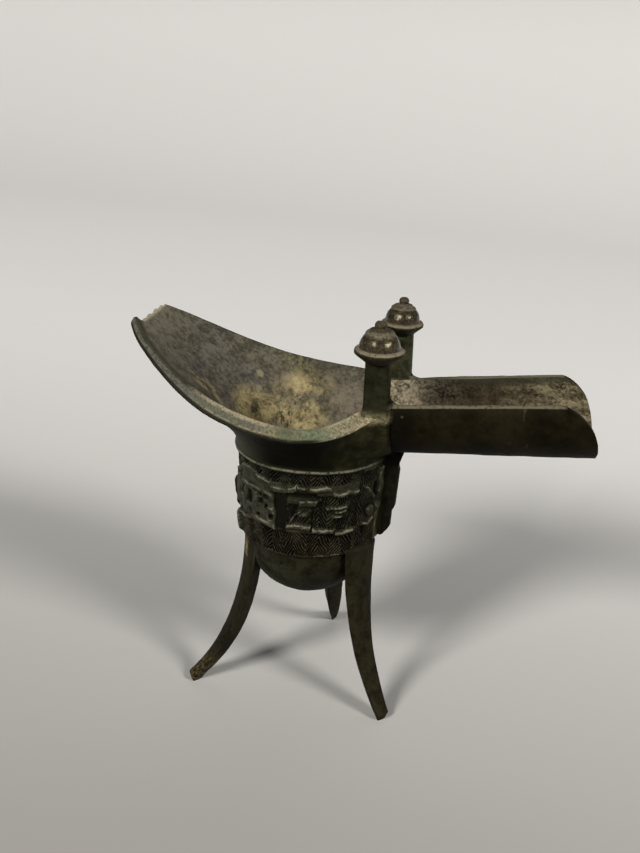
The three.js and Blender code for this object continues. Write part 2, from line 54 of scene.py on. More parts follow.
TAIL_RISE, SPOUT_RISE = 27, 4.7
LIP_WIDTH, LIP_TAIL_WIDTH, LIP_SPOUT_WIDTH = 3.1, 1.9, 2
LIP_DROP, LIP_TAIL_DROP, LIP_SPOUT_DROP = 2.6, 1.7, 4.4
LIP_EDGE, LIP_UNDERCUT, CREST = 0.9, 1.6, 0.7
FULLEST_TURN, FULL_SPREAD, FULL_WIDTH, FULL_DROP = 4.33, 0.36, 1.6, 0.9
FLARE_KNEE, FLARE_KNEE_TAIL, FLARE_STEPS = 0.45, 0.2, 16
ABOVE_ALL_Z = 165
RING = [(28.7, 101.15), (29.4, 101.6), (29.95, 102.1), (30.15, 102.7), (29.95, 103.3), (29.6, 103.8)]
SPACE_MIDDLE = (24, 84)
DOME_STEP, DRAWN_UP, DRAWN_OUT, SAME_PLACE, SAME_POINT = 6, 0.5, 0.2, 0.01, 1e-4
FINISHES = 7
OUTSIDE, INSIDE, LIP, HEADS, CHANNEL, BAND, BREAK = range(FINISHES)


def pick_nothing():
    if bpy.context.object is not None and bpy.context.object.mode != "OBJECT":
        bpy.ops.object.mode_set(mode="OBJECT")
    bpy.ops.object.select_all(action="DESELECT")


def pick(drawn):
    pick_nothing()
    drawn.select_set(True)
    bpy.context.view_layer.objects.active = drawn


def face_outwards():
    bpy.ops.mesh.select_all(action="SELECT")
    bpy.ops.mesh.normals_make_consistent(inside=False)


def draw_line(name, points):
    pick_nothing()
    bpy.ops.mesh.primitive_plane_add(size=1, location=(0, 0, 0))
    drawn = bpy.context.object
    drawn.name = name
    bpy.ops.object.mode_set(mode="EDIT")
    bpy.ops.mesh.select_mode(type="VERT")
    bpy.ops.mesh.select_all(action="SELECT")
    bpy.ops.mesh.merge(type="CENTER")
    bpy.ops.transform.translate(value=points[0])
    for last, point in zip(points, points[1:]):
        step = Vector(point) - Vector(last)
        bpy.ops.mesh.extrude_vertices_move(TRANSFORM_OT_translate={"value": step})
    bpy.ops.mesh.select_all(action="SELECT")
    return drawn


def turned(name, profile, steps):
    drawn = draw_line(name, [(r, 0, z) for r, z in profile])
    bpy.ops.mesh.spin(steps=steps, angle=2 * math.pi, center=(0, 0, 0), axis=(0, 0, 1))
    bpy.ops.mesh.select_all(action="SELECT")
    bpy.ops.mesh.remove_doubles(threshold=SAME_POINT)
    face_outwards()
    bpy.ops.object.mode_set(mode="OBJECT")
    return drawn


def give_finish(drawn, finish):
    while len(drawn.data.materials) < FINISHES:
        drawn.data.materials.append(None)
    for face in drawn.data.polygons:
        face.material_index = finish


def corners_of(drawn):
    flat = np.empty(len(drawn.data.vertices) * 3)
    drawn.data.vertices.foreach_get("co", flat)
    return flat.reshape(-1, 3)


def place_corners(drawn, corners):
    drawn.data.vertices.foreach_set("co", np.asarray(corners, float).ravel())
    drawn.data.update()


def lerp(a, b, t):
    return a + (b - a) * t


def eased(t):
    return t * t * (3 - 2 * t)


def lip_size(along, side, tail, spout):
    return np.where(along > 0, lerp(side, spout, along ** 2), lerp(side, tail, -along))


def fuller(turn, size):
    return size * np.exp(-((np.mod(turn, 2 * math.pi) - FULLEST_TURN) / FULL_SPREAD) ** 2)


def lip_width(turn):
    return lip_size(np.cos(turn), LIP_WIDTH, LIP_TAIL_WIDTH, LIP_SPOUT_WIDTH) + fuller(turn, FULL_WIDTH)


def lip_drop(turn):
    return lip_size(np.cos(turn), LIP_DROP, LIP_TAIL_DROP, LIP_SPOUT_DROP) + fuller(turn, FULL_DROP)


def rim(turn, share, outwards, down):
    along = np.cos(turn)
    reach = np.where(along > 0, MOUTH_TO_SPOUT, MOUTH_TO_TAIL)
    rise = np.where(along > 0, SPOUT_RISE, TAIL_RISE)
    spread = share * lip_width(turn) + outwards
    drop = share * lip_drop(turn) + down
    out = np.stack([along / reach, np.sin(turn) / MOUTH_HALF_WIDTH], 1)
    out /= np.linalg.norm(out, axis=1, keepdims=True)
    return np.stack([
        MOUTH_X + reach * along + spread * out[:, 0],
        MOUTH_HALF_WIDTH * np.sin(turn) + spread * out[:, 1],
        MOUTH_Z + rise * along ** 2 - drop,
    ], 1)


def flare(turn, t, neck_radius, edge):
    neck = np.stack([neck_radius * np.cos(turn), neck_radius * np.sin(turn), np.full(len(turn), NECK_Z)], 1)
    knee = neck.copy()
    towards_tail = np.maximum(0, -np.cos(turn))
    knee[:, 2] = lerp(NECK_Z, edge[:, 2], lerp(FLARE_KNEE, FLARE_KNEE_TAIL, towards_tail))
    return (1 - t) ** 2 * neck + 2 * t * (1 - t) * knee + t ** 2 * edge


def draw_out_mouth(drawn, neck_radius, flare_edge, rim_rows):
    """Takes the turned rows above the neck out to the oval mouth. A row is known by its height."""
    corners = corners_of(drawn)
    turn = np.arctan2(corners[:, 1], corners[:, 0])
    off_axis = np.hypot(corners[:, 0], corners[:, 1]) > SAME_PLACE
    drawn_z = corners[:, 2].copy()
    for step in range(1, FLARE_STEPS):
        row = off_axis & (np.abs(drawn_z - flare_row_z(step)) < SAME_PLACE)
        edge = rim(turn[row], *flare_edge)
        corners[row] = flare(turn[row], step / FLARE_STEPS, neck_radius, edge)
    for i, sizes in enumerate(rim_rows):
        row = off_axis & (np.abs(drawn_z - flare_row_z(FLARE_STEPS + i)) < SAME_PLACE)
        corners[row] = rim(turn[row], *sizes[:3])
        if len(sizes) == 4:
            corners[row, 2] = sizes[3]
    place_corners(drawn, corners)


def flare_row_z(step):
    return NECK_Z + DRAWN_UP * step


def dome(bottom_z, edge_z, radius):
    rise = edge_z - bottom_z
    lifts = [math.radians(d) for d in range(DOME_STEP, 90, DOME_STEP)]
    return [(0, bottom_z)] + [(radius * math.sin(a), edge_z - rise * math.cos(a)) for a in lifts]


# Rows of the lip from its underside to the crest: share of the lip's slope, then out and down from there.
LIP_ROWS = [
    (1, -LIP_UNDERCUT, LIP_EDGE + LIP_UNDERCUT / 2), (1, -0.5, LIP_EDGE + 0.3), (1, 0, LIP_EDGE),
    (1, 0.05, 0.4), (0.97, 0, 0), (0.85, 0, -0.15), (0.65, 0, -0.27), (0.45, 0, -0.3), (0.25, 0, -0.25),
    (0.1, 0, -0.12), (0, 0, 0), (0, -0.35, -0.05),
]
bowl_profile = dome(CUP_BOTTOM_Z, DOME_Z, DOME_RADIUS) + [
    (DOME_RADIUS, DOME_Z), (CORE_RADIUS, BAND_BOTTOM_Z + 0.5), (CORE_RADIUS, BAND_TOP_Z - 0.5),
    *RING, (NECK_RADIUS, NECK_Z),
] + [
    (NECK_RADIUS + DRAWN_OUT * row, flare_row_z(row)) for row in range(1, FLARE_STEPS + len(LIP_ROWS))
] + [(0, MOUTH_Z)]
cup = turned("jue", bowl_profile, CUP_AROUND)
give_finish(cup, OUTSIDE)
for face in cup.data.polygons:
    if face.center.z > flare_row_z(FLARE_STEPS + 2):
        face.material_index = LIP
draw_out_mouth(cup, NECK_RADIUS, LIP_ROWS[0], LIP_ROWS)

SPACE_ROWS = [(0, -CREST, CREST / 3), (0, -CREST, 0, ABOVE_ALL_Z)]
space_profile = dome(CUP_BOTTOM_Z + WALL, DOME_Z, DOME_RADIUS - WALL) + [
    (DOME_RADIUS - WALL, DOME_Z), SPACE_MIDDLE, (BAND_TOP_RADIUS - WALL, BAND_TOP_Z),
    (NECK_RADIUS - WALL, NECK_Z),
] + [
    (NECK_RADIUS - WALL + DRAWN_OUT * row, flare_row_z(row))
    for row in range(1, FLARE_STEPS + len(SPACE_ROWS))
] + [(0, ABOVE_ALL_Z)]
cup_space = turned("cup_space", space_profile, CUP_AROUND)
draw_out_mouth(cup_space, NECK_RADIUS - WALL, SPACE_ROWS[0], SPACE_ROWS)
give_finish(cup_space, INSIDE)

# Band of mask ornament
# Cast relief round the bowl: two animal masks in stepped bars and plates on a ground of fine hatched
# chevrons, as the mould makers cut it. It is worn smooth on its high places.
BAND_AROUND, BAND_ROWS, BAND_CLOSED, BAND_HIDDEN_RADIUS, BAND_FOOT = 720, 96, 0.84, 25, 1.2
MM_PER_DEGREE = 0.497
CASTING_SEED = 3
CASTING_LUMPS = [(0.23, 0.12), (0.7, 0.08)]
WEAR_RATE, WEAR_MIDDLE, WEAR_SPREAD, WEAR_LEAST, WEAR_MOST = 0.17, 0.95, 0.9, 0.45, 1.25
STRAY_RATE, STRAY_DEGREES, STRAY_UP = 0.3, 2.2, 0.5
STROKE_APART, STROKE_CLIMB = 1.2, 1.8
EDGE_SLOPE, HATCH_SLOPE, HOLLOW_SLOPE, PLATE_SLOPE, PIT_SLOPE, PIT_DEPTH = 0.9, 0.5, 1.3, 1.1, 0.8, 0.8
# Ledges are lines of turn and height with half a width and a height. The other fields give turns and heights.
LEDGES = [
    ([(254, 93.8), (267, 94.1), (275.4, 95.9)], 1.15, 1.25),
    ([(303, 93.4), (308, 92.7), (316, 93.5), (325.5, 92.7)], 0.9, 1.1),
    ([(275.8, 96.2), (284, 95.3), (291, 95.2), (297, 95.8), (301.6, 95.2)], 0.9, 1.15),
    ([(208, 93), (226, 98.2), (238, 97.6), (253, 95.6)], 1.1, 0.8), ([(276, 89.3), (290.5, 89.6)], 1.15, 0.9),
    ([(298, 87.4), (316, 87.6)], 0.65, 0.85), ([(304, 85.7), (315, 86)], 0.5, 0.75),
    ([(303, 83.6), (312, 84)], 0.5, 0.75), ([(270, 81.6), (279, 86.4)], 0.7, 0.75),
    ([(278, 84.3), (285, 84.6)], 0.75, 0.65), ([(268, 79.4), (275, 79.9), (287, 79.6)], 0.9, 1.2),
    ([(289, 78.8), (297, 78.1), (305.6, 78)], 0.95, 1.35),
    ([(306.6, 77.2), (312, 76.5), (321, 77.5)], 0.85, 1.3),
    ([(237, 78.2), (246, 78.6), (257, 77.8)], 0.9, 1.15),
    ([(192, 70), (205, 74.3), (215, 77), (225, 76.3), (236.5, 79)], 0.9, 1),
    ([(219, 91), (240, 91.4), (256, 90.6)], 0.8, 0.8), ([(331, 94), (340, 90), (346, 87)], 0.8, 0.9),
    ([(331, 78.5), (338, 77.2), (346, 78.5)], 0.7, 0.9),
]
HOLLOWS = [
    (257, 268, 77, 92.6, 0.5), (268, 291, 90.8, 93.4, 0.9), (269.5, 276, 83.5, 88.6, 0.8),
    (287, 296, 83.6, 90, 0.6), (343, 348, 86.5, 93.5, 1), (304, 318, 79.6, 83, 0.5),
]
PLATES = [
    (218, 257, 78, 91, 0.35), (219, 225.5, 79, 90, 0.8), (235.5, 241, 79, 90, 0.85),
    (250, 256.5, 78, 85.5, 0.8), (205, 213, 79, 92, 0.7), (349, 365, 68, 99, 1),
]
PITS = [
    (226.5, 234.5, 83.9, 88.9), (242, 245.6, 85.6, 88), (247.5, 251, 84.2, 86), (252.4, 255.6, 80.4, 82.8),
    (242.5, 245, 88.9, 90.4), (239, 243.5, 79.6, 81), (220, 223.6, 85.6, 89.6), (247, 250.4, 88.2, 89.8),
    (229, 233, 79.2, 81.6),
]
JAW_BAR, JAW_PROUD, JAW_SLOPE = (191, 213, 67.4, 73), 1.5, 1.4
EYE_TURN, EYE_Z, EYE_RADIUS, EYE_PROUD, EYE_SUNK = 341, 82.5, 2.6, 1.2, 0.15
SOCKET_RADIUS, SOCKET_SLOPE, SOCKET_DEPTH = 4.2, 0.7, 0.7
BEAD_Z, BEAD_HALF, BEAD_PROUD, BEAD_RATE = 66.8, 0.6, 0.35, 1.9


def field(turn, z, from_turn, to_turn, low, high, slope):
    inside = np.minimum.reduce([
        (turn - from_turn) * MM_PER_DEGREE, (to_turn - turn) * MM_PER_DEGREE, z - low, high - z,
    ])
    return eased(np.clip(inside / slope + 0.5, 0, 1))


def ledge(turn, z, points, half):
    along = [p[0] for p in points]
    within = half - np.abs(z - np.interp(turn, along, [p[1] for p in points]))
    within = np.minimum(within, np.minimum(turn - along[0], along[-1] - turn) * MM_PER_DEGREE)
    return eased(np.clip(within / EDGE_SLOPE + 0.5, 0, 1))


def wave(x, half):
    return np.abs((x / half) % 2 - 1) * half


def strokes(across, up):
    return np.abs((across / STROKE_APART - up / STROKE_CLIMB) % 1 * 2 - 1)


def relief(turn, z, worn):
    """Height of the ornament above the band's ground, for a turn about the bowl and a height on it."""
    across, up = (turn - 180) * MM_PER_DEGREE, z - BAND_BOTTOM_Z
    height = np.zeros(len(turn))
    for sizes, lines, depth in [
        ((186, 328, 96.6, 101.3), strokes(wave(across - 40.7, 4), up), 0.75),
        ((186, 336, 67, 76.8), strokes(wave(across - 37.2, 4.8), up), 0.8),
        ((326, 349, 67, 100), strokes(across, wave(up - 3, 6.5) * 0.7), 0.75),
        ((287, 327, 78, 92.6), strokes(wave(across - 63.2, 3.6), up), 0.7),
        ((268, 288, 80, 88.4), strokes(wave(across - 44.2, 4.2), up), 0.5),
        ((190, 218, 78, 97), strokes(wave(across - 10, 3.4), up), 0.5),
        ((257, 268.5, 77, 93), strokes(across, 0 * up), 0.3),
        ((219, 257, 78.6, 83.4), strokes(across, wave(up, 2.4)), 0.45),
        ((243, 256, 83.4, 90.4), strokes(wave(across, 3), up), 0.35),
    ]:
        height = height - field(turn, z, *sizes, HATCH_SLOPE) * depth * (0.35 + 0.8 * worn) * (1 - lines)
    for *sizes, depth in HOLLOWS:
        height = lerp(height, height - depth, field(turn, z, *sizes, HOLLOW_SLOPE))
    for *sizes, proud in PLATES:
        height = np.maximum(height, lerp(height, proud * worn, field(turn, z, *sizes, PLATE_SLOPE)))
    for points, half, proud in LEDGES:
        height = np.maximum(height, lerp(height, proud * worn, ledge(turn, z, points, half)))
    height = np.maximum(height, lerp(height, JAW_PROUD, field(turn, z, *JAW_BAR, JAW_SLOPE)))
    for sizes in PITS:
        height = lerp(height, -PIT_DEPTH, field(turn, z, *sizes, PIT_SLOPE))
    from_eye = np.hypot((turn - EYE_TURN) * MM_PER_DEGREE, z - EYE_Z)
    height = lerp(height, -SOCKET_DEPTH, np.clip((SOCKET_RADIUS - from_eye) / SOCKET_SLOPE, 0, 1))
    boss = EYE_PROUD * np.sqrt(np.maximum(0, 1 - (from_eye / EYE_RADIUS) ** 2)) - EYE_SUNK
    height = np.where(from_eye < EYE_RADIUS, np.maximum(height, boss), height)
    beads = BEAD_PROUD * (1 - np.abs(np.clip((z - BEAD_Z) / BEAD_HALF, -1, 1)))
    beads = beads * (0.3 + 0.7 * np.abs(np.sin(across * BEAD_RATE)))
    return height + beads


pick_nothing()
band_height = BAND_TOP_Z - BAND_BOTTOM_Z
bpy.ops.mesh.primitive_cylinder_add(
    vertices=BAND_AROUND, radius=BAND_TOP_RADIUS, depth=band_height, end_fill_type="NOTHING",
    location=(0, 0, BAND_BOTTOM_Z + band_height / 2),
)
band = bpy.context.object
band.name = "mask_band"
bpy.ops.object.transform_apply()


def pick_edges(drawn, wanted):
    bpy.ops.object.mode_set(mode="EDIT")
    bpy.ops.mesh.select_mode(type="EDGE")
    bpy.ops.mesh.select_all(action="DESELECT")
    opened = bmesh.from_edit_mesh(drawn.data)
    for edge in opened.edges:
        edge.select = wanted(*[corner.co for corner in edge.verts])
    opened.select_flush_mode()
    bmesh.update_edit_mesh(drawn.data)


pick_edges(band, lambda a, b: abs(a.z - b.z) > 1)
bpy.ops.mesh.subdivide(number_cuts=BAND_ROWS - 1)
bpy.ops.object.mode_set(mode="OBJECT")
corners = corners_of(band)
turn = np.degrees(np.arctan2(corners[:, 1], corners[:, 0])) % 360
turn = np.where(turn < 180, 360 - turn, turn)
z = corners[:, 2].copy()
noise.seed_set(CASTING_SEED)
stray = np.array([noise.noise_vector(Vector(c) * STRAY_RATE) for c in corners])
casting = np.array([
    sum(noise.noise(Vector(c) * rate) * size for rate, size in CASTING_LUMPS) for c in corners
])
worn = WEAR_MIDDLE + WEAR_SPREAD * np.array([noise.noise(Vector(c) * WEAR_RATE) for c in corners])
worn = np.clip(worn, WEAR_LEAST, WEAR_MOST)
radius = lerp(BAND_BOTTOM_RADIUS, BAND_TOP_RADIUS, (z - BAND_BOTTOM_Z) / band_height)
radius += relief(turn + STRAY_DEGREES * stray[:, 0], z + STRAY_UP * stray[:, 1], worn)
radius += casting - np.clip(1 - (z - BAND_BOTTOM_Z) / BAND_FOOT, 0, 1)
corners[:, :2] *= (radius / np.hypot(corners[:, 0], corners[:, 1]))[:, None]
place_corners(band, corners)
for level in (BAND_BOTTOM_Z, BAND_TOP_Z):
    pick_edges(band, lambda a, b: abs(a.z - level) < SAME_PLACE and abs(b.z - level) < SAME_PLACE)
    bpy.ops.mesh.extrude_edges_move()
    bpy.ops.transform.resize(value=(BAND_CLOSED, BAND_CLOSED, 1), center_override=(0, 0, level))
pick_edges(band, lambda a, b: max(a.to_2d().length, b.to_2d().length) < BAND_HIDDEN_RADIUS)
bpy.ops.mesh.bridge_edge_loops()
face_outwards()
bpy.ops.mesh.quads_convert_to_tris(quad_method="SHORTEST_DIAGONAL", ngon_method="BEAUTY")
bpy.ops.object.mode_set(mode="OBJECT")
give_finish(band, BAND)


def combine(body, other, operation="UNION"):
    pick(body)
    bpy.ops.object.modifier_add(type="BOOLEAN")
    cut = body.modifiers[-1]
    cut.operation = operation
    cut.solver = "MANIFOLD"
    cut.object = other
    bpy.ops.object.modifier_apply(modifier=cut.name)
    bpy.data.objects.remove(other)


combine(cup, band)

# Nose ridges
# Upright flanges down the middle of the two masks, under the spout and under the tail, left by the joints
# of the mould and finished as part of the ornament.
RIDGE_THICK, RIDGE_SOFT = 4.2, 0.7
SPOUT_RIDGE = [
    (25.7, 68.6), (29.6, 68.6), (32.6, 72.4), (32.9, 79.7), (34, 81.1), (35.1, 97.2), (34.5, 98.6),
    (35.8, 102.7), (36.8, 105.3), (36.8, 107), (25.7, 107),
]
TAIL_RIDGE = [
    (25.7, 71), (28.4, 71), (30.1, 73), (30.2, 76.1), (30.8, 77.5), (31.4, 82.7), (30.3, 84.8), (25.7, 84.8),
]
for name, turned_by, outline in [("spout_ridge", 0, SPOUT_RIDGE), ("tail_ridge", math.pi, TAIL_RIDGE)]:
    ridge = draw_line(name, [(x, -RIDGE_THICK / 2, z) for x, z in outline])
    bpy.ops.mesh.edge_face_add()
    bpy.ops.mesh.extrude_region_move(TRANSFORM_OT_translate={"value": (0, RIDGE_THICK, 0)})
    face_outwards()
    bpy.ops.mesh.bevel(offset=RIDGE_SOFT, segments=2, affect="EDGES")
    bpy.ops.object.mode_set(mode="OBJECT")
    ridge.rotation_euler.z = turned_by
    bpy.ops.object.transform_apply()
    combine(cup, ridge)

# Spout and its collar
# An open channel of U section that climbs away from the mouth, with thin walls, a collar where it leaves
# the neck and a rounded end that is a little longer on the plain side.
SPOUT_SLOPE = math.tan(math.radians(8.9))
SPOUT_ROOT_X, SPOUT_END_X, SPOUT_TOP_AT_X, SPOUT_TOP_Z = 8, 109, 38, 129.3
SPOUT_HALF_WIDTH, SPOUT_END_HALF_WIDTH, SPOUT_STRAIGHT_SIDE, SPOUT_WALL = 17.2, 19, 6.3, 2.3
SPOUT_END_ROUND_X, SPOUT_END_ROUND_Z, SPOUT_END_SKEW = 15.9, 17.7, 0.172
COLLAR_END_X, COLLAR_PROUD, COLLAR_LOW_X, COLLAR_LOW_Z = 33.6, 1.3, 30, 103.2
SPOUT_LOW_Z, SPOUT_ROWS, SPOUT_ARC_STEPS, EDGE_SOFT, EDGE_LIFT = 99.7, 40, 32, 0.55, 0.02
COLLAR_SOFT, COLLAR_CLIMB = 0.5, 5


def lofted(name, rows):
    drawn = draw_line(name, rows[0])
    bpy.ops.mesh.edge_face_add()
    for last, row in zip(rows, rows[1:]):
        bpy.ops.mesh.extrude_region_move()
        opened = bmesh.from_edit_mesh(drawn.data)
        for corner in [c for c in opened.verts if c.select]:
            nearest = min(range(len(last)), key=lambda i: (corner.co - Vector(last[i])).length_squared)
            corner.co = row[nearest]
        bmesh.update_edit_mesh(drawn.data)
    face_outwards()
    bpy.ops.object.mode_set(mode="OBJECT")
    give_finish(drawn, OUTSIDE)
    return drawn


def spout_top(x):
    return SPOUT_TOP_Z + (x - SPOUT_TOP_AT_X) * SPOUT_SLOPE


def spout_row(x, proud, lift):
    t = (x - SPOUT_TOP_AT_X) / (SPOUT_END_X - SPOUT_TOP_AT_X)
    half = lerp(SPOUT_HALF_WIDTH, SPOUT_END_HALF_WIDTH, t) + proud
    top = spout_top(x)
    arc_z = top - SPOUT_STRAIGHT_SIDE
    turns = [math.pi * i / SPOUT_ARC_STEPS for i in range(SPOUT_ARC_STEPS + 1)]
    if lift:
        end = [(half + EDGE_SOFT, top + lift), (half + EDGE_SOFT, top + EDGE_LIFT), (half, top - EDGE_SOFT)]
    else:
        end = [(half - EDGE_SOFT, top), (half, top - EDGE_SOFT)]
    near = [(x, -y, z) for y, z in end]
    far = [(x, y, z) for y, z in reversed(end)]
    return near + [(x, -half * math.cos(a), arc_z - half * math.sin(a)) for a in turns] + far


spout_length = np.linspace(SPOUT_ROOT_X, SPOUT_END_X + SPOUT_END_ROUND_X, SPOUT_ROWS)
channel = lofted("spout", [spout_row(x, 0, 0) for x in spout_length])
round_x = SPOUT_END_X - SPOUT_END_ROUND_X
end_top = spout_top(round_x)
arc = [math.radians(d) for d in range(0, 91, 5)]
end_outline = [(0, SPOUT_LOW_Z), (SPOUT_END_X, SPOUT_LOW_Z)] + [
    (round_x + SPOUT_END_ROUND_X * math.cos(a), end_top - SPOUT_END_ROUND_Z + SPOUT_END_ROUND_Z * math.sin(a))
    for a in arc
] + [(0, end_top)]
end_form = lofted("spout_end", [
    [(x - SPOUT_END_SKEW * (y + SPOUT_END_HALF_WIDTH), y, z) for x, z in end_outline]
    for y in (-2 * SPOUT_END_HALF_WIDTH, 2 * SPOUT_END_HALF_WIDTH)
])
combine(channel, end_form, "INTERSECT")
combine(cup, channel)


def collar_end(z):
    return lerp(COLLAR_LOW_X, COLLAR_END_X, min(1, max(0, (z - COLLAR_LOW_Z) / COLLAR_CLIMB)))


collar = lofted("collar", [
    [(min(px, collar_end(pz)), py, pz) for px, py, pz in spout_row(x, proud, 0)] for x, proud in [
        (SPOUT_ROOT_X, COLLAR_PROUD), (COLLAR_END_X - COLLAR_SOFT, COLLAR_PROUD),
        (COLLAR_END_X, COLLAR_PROUD - COLLAR_SOFT),
    ]
])
combine(cup, collar)

# The neck and its lip are drawn out on both sides of the spout to meet the collar.
SIDE_TURN, SIDE_POINTS, SIDE_ROWS, SIDE_STEP, SIDE_INSET, SIDE_SUNK = 50, 33, 22, 3, 0.3, 0.1
SIDE_LIP_Z, SIDE_LIP_TOP_Z, SIDE_LIP_FROM, SIDE_LIP_OVER = 120.3, 126.4, 51, 21
SIDE_LIP_ROWS = [(1, 0.35, 0.4), (1, 1.4, 1), (1, 3, 1.4), (1, 7, 1.4)]
SIDE_FINISH_Z, SIDE_FINISH_UP = 119, 0.4
side_turn = np.full(SIDE_POINTS, math.radians(SIDE_TURN))
side_climb = np.linspace(0, 1, SIDE_POINTS)[:, None]
side_line = flare(side_turn, side_climb, NECK_RADIUS, rim(side_turn, *LIP_ROWS[0]))
collar_half = SPOUT_HALF_WIDTH + COLLAR_PROUD
collar_arc_z = spout_top(COLLAR_END_X) - SPOUT_STRAIGHT_SIDE


def neck_side(degrees, up, inwards, lift):
    a = abs(math.radians(degrees))
    climbed = min(1, max(0, (SIDE_LIP_FROM - abs(degrees)) / SIDE_LIP_OVER))
    top = lerp(SIDE_LIP_Z, SIDE_LIP_TOP_Z, climbed)
    z = lerp(COLLAR_LOW_Z, top, up)
    neck_at = np.interp(z, side_line[:, 2], np.hypot(side_line[:, 0], side_line[:, 1])) - SIDE_INSET
    end_x = collar_end(z) - SIDE_SUNK
    end_y = math.sqrt(max(0, collar_half ** 2 - max(0, collar_arc_z - z) ** 2)) - SIDE_SUNK
    corner, corner_turn = math.hypot(end_x, end_y), math.atan2(end_y, end_x)
    leave_turn = corner_turn + math.acos(min(1, neck_at / corner))
    away = end_x / math.cos(a) if a <= corner_turn else neck_at / math.cos(min(0, a - leave_turn))
    away -= inwards
    return away * math.cos(math.radians(degrees)), away * math.sin(math.radians(degrees)), z + lift


side_rows = [(i / SIDE_ROWS, 0, 0) for i in range(SIDE_ROWS + 1)] + SIDE_LIP_ROWS
sides = lofted("neck_sides", [[neck_side(d, *row) for d in range(-180, 180, SIDE_STEP)] for row in side_rows])
for face in sides.data.polygons:
    if face.center.z > SIDE_FINISH_Z and face.normal.z > SIDE_FINISH_UP:
        face.material_index = LIP
combine(cup, sides)

# Legs
# Three blades of three cornered section, cast on under the band and bent to the bowl at the top, that sweep
# out to blunt toes.
LEG_TOP_Z, LEG_STATIONS, LEG_DEPTH, LEG_INTO_BAND = 67, 24, 6.8, 1.4
LEG_UPPER_Z, LEG_LOWER_Z, LEG_NARROW_Z, LEG_BENT_IN, LEG_SWEPT_OUT = 42, 19, 17, 0.8, 0.2
FOOT_RADIUS, FOOT_LENGTH, TOE_RADIUS, TOE_Z, TOE_TAPER = 46.4, 3.8, 47.4, 2.6, 0.8
LEG_SECTION = [
    (0.02, -0.36), (0, -0.2), (0, 0.2), (0.02, 0.36), (0.07, 0.46), (0.17, 0.5), (0.3, 0.46), (0.6, 0.29),
    (0.92, 0.12), (0.985, 0.06), (1, 0), (0.985, -0.06), (0.92, -0.12), (0.6, -0.29), (0.3, -0.46),
    (0.17, -0.5), (0.07, -0.46),
]


def leg_row(radius, z, width, depth, angle):
    out = Vector((math.cos(math.radians(angle)), math.sin(math.radians(angle)), 0))
    side = Vector((-out.y, out.x, 0))
    bent = z / LEG_TOP_Z / (2 * BAND_BOTTOM_RADIUS)
    return [
        out * (radius - depth * i - bent * (width * s) ** 2) + side * (width * s) + Vector((0, 0, z))
        for i, s in LEG_SECTION
    ]


for name, top_radius, top_angle, foot_angle, widths in [
    ("leg_back", 26.2, 77, 89, [2.4, 7.6, 12.6]), ("leg_tail", 25.6, 209, 209, [5.2, 8.6, 18.5]),
    ("leg_spout", 28.2, 337, 329.5, [5.2, 8.6, 18.5]),
]:
    rows = [leg_row(FOOT_RADIUS, 0, TOE_TAPER * widths[0], FOOT_LENGTH, foot_angle)]
    sweep = [
        (top_radius, LEG_TOP_Z), (top_radius - LEG_BENT_IN, LEG_UPPER_Z),
        (lerp(top_radius, TOE_RADIUS, LEG_SWEPT_OUT), LEG_LOWER_Z), (TOE_RADIUS, TOE_Z),
    ]
    for station in range(LEG_STATIONS + 1):
        t = 1 - station / LEG_STATIONS
        weights = [(1 - t) ** 3, 3 * t * (1 - t) ** 2, 3 * t ** 2 * (1 - t), t ** 3]
        radius, z = [sum(w * p[i] for w, p in zip(weights, sweep)) for i in (0, 1)]
        width = np.interp(z, [0, LEG_NARROW_Z, LEG_TOP_Z], widths)
        rows.append(leg_row(radius, z, width, LEG_DEPTH, lerp(top_angle, foot_angle, t)))
    rows.append(leg_row(CORE_RADIUS, LEG_TOP_Z + LEG_INTO_BAND, width, LEG_DEPTH / 2, top_angle))
    combine(cup, lofted(name, rows))

# Handle
# A plain strap bowed out over the back leg, on the side away from the one that is seen.
HANDLE_WIDTH, HANDLE_THICK, HANDLE_REACH, HANDLE_BOW_Y = 9, 3.4, 45, 31
HANDLE_TOP_Z, HANDLE_FOOT_Z, HANDLE_TOP_Y, HANDLE_FOOT_Y, HANDLE_STEP = 97.5, 71.5, 26.5, 25.5, 6
STRAP_SOFT, STRAP_FULL = 0.25, 0.8
half_width, half_thick, soft = HANDLE_WIDTH / 2, HANDLE_THICK / 2, HANDLE_THICK / 3
strap_edge = [
    (half_width - soft, -half_thick), (half_width - STRAP_SOFT * soft, -STRAP_FULL * half_thick),
    (half_width, 0),
    (half_width - STRAP_SOFT * soft, STRAP_FULL * half_thick), (half_width - soft, half_thick),
]
strap = [(-half_width + soft, -half_thick)] + strap_edge + [(-x, out) for x, out in reversed(strap_edge[1:])]
middle_z, half_height = (HANDLE_TOP_Z + HANDLE_FOOT_Z) / 2, (HANDLE_TOP_Z - HANDLE_FOOT_Z) / 2
bow = HANDLE_REACH - half_thick - HANDLE_BOW_Y
rows = [[(x, HANDLE_TOP_Y, HANDLE_TOP_Z + out) for x, out in strap]]
for degrees in range(90, -91, -HANDLE_STEP):
    a = math.radians(degrees)
    rows.append([
        (x, HANDLE_BOW_Y + (bow + out) * math.cos(a), middle_z + (half_height + out) * math.sin(a))
        for x, out in strap
    ])
rows.append([(x, HANDLE_FOOT_Y, HANDLE_FOOT_Z - out) for x, out in strap])
combine(cup, lofted("handle", rows))

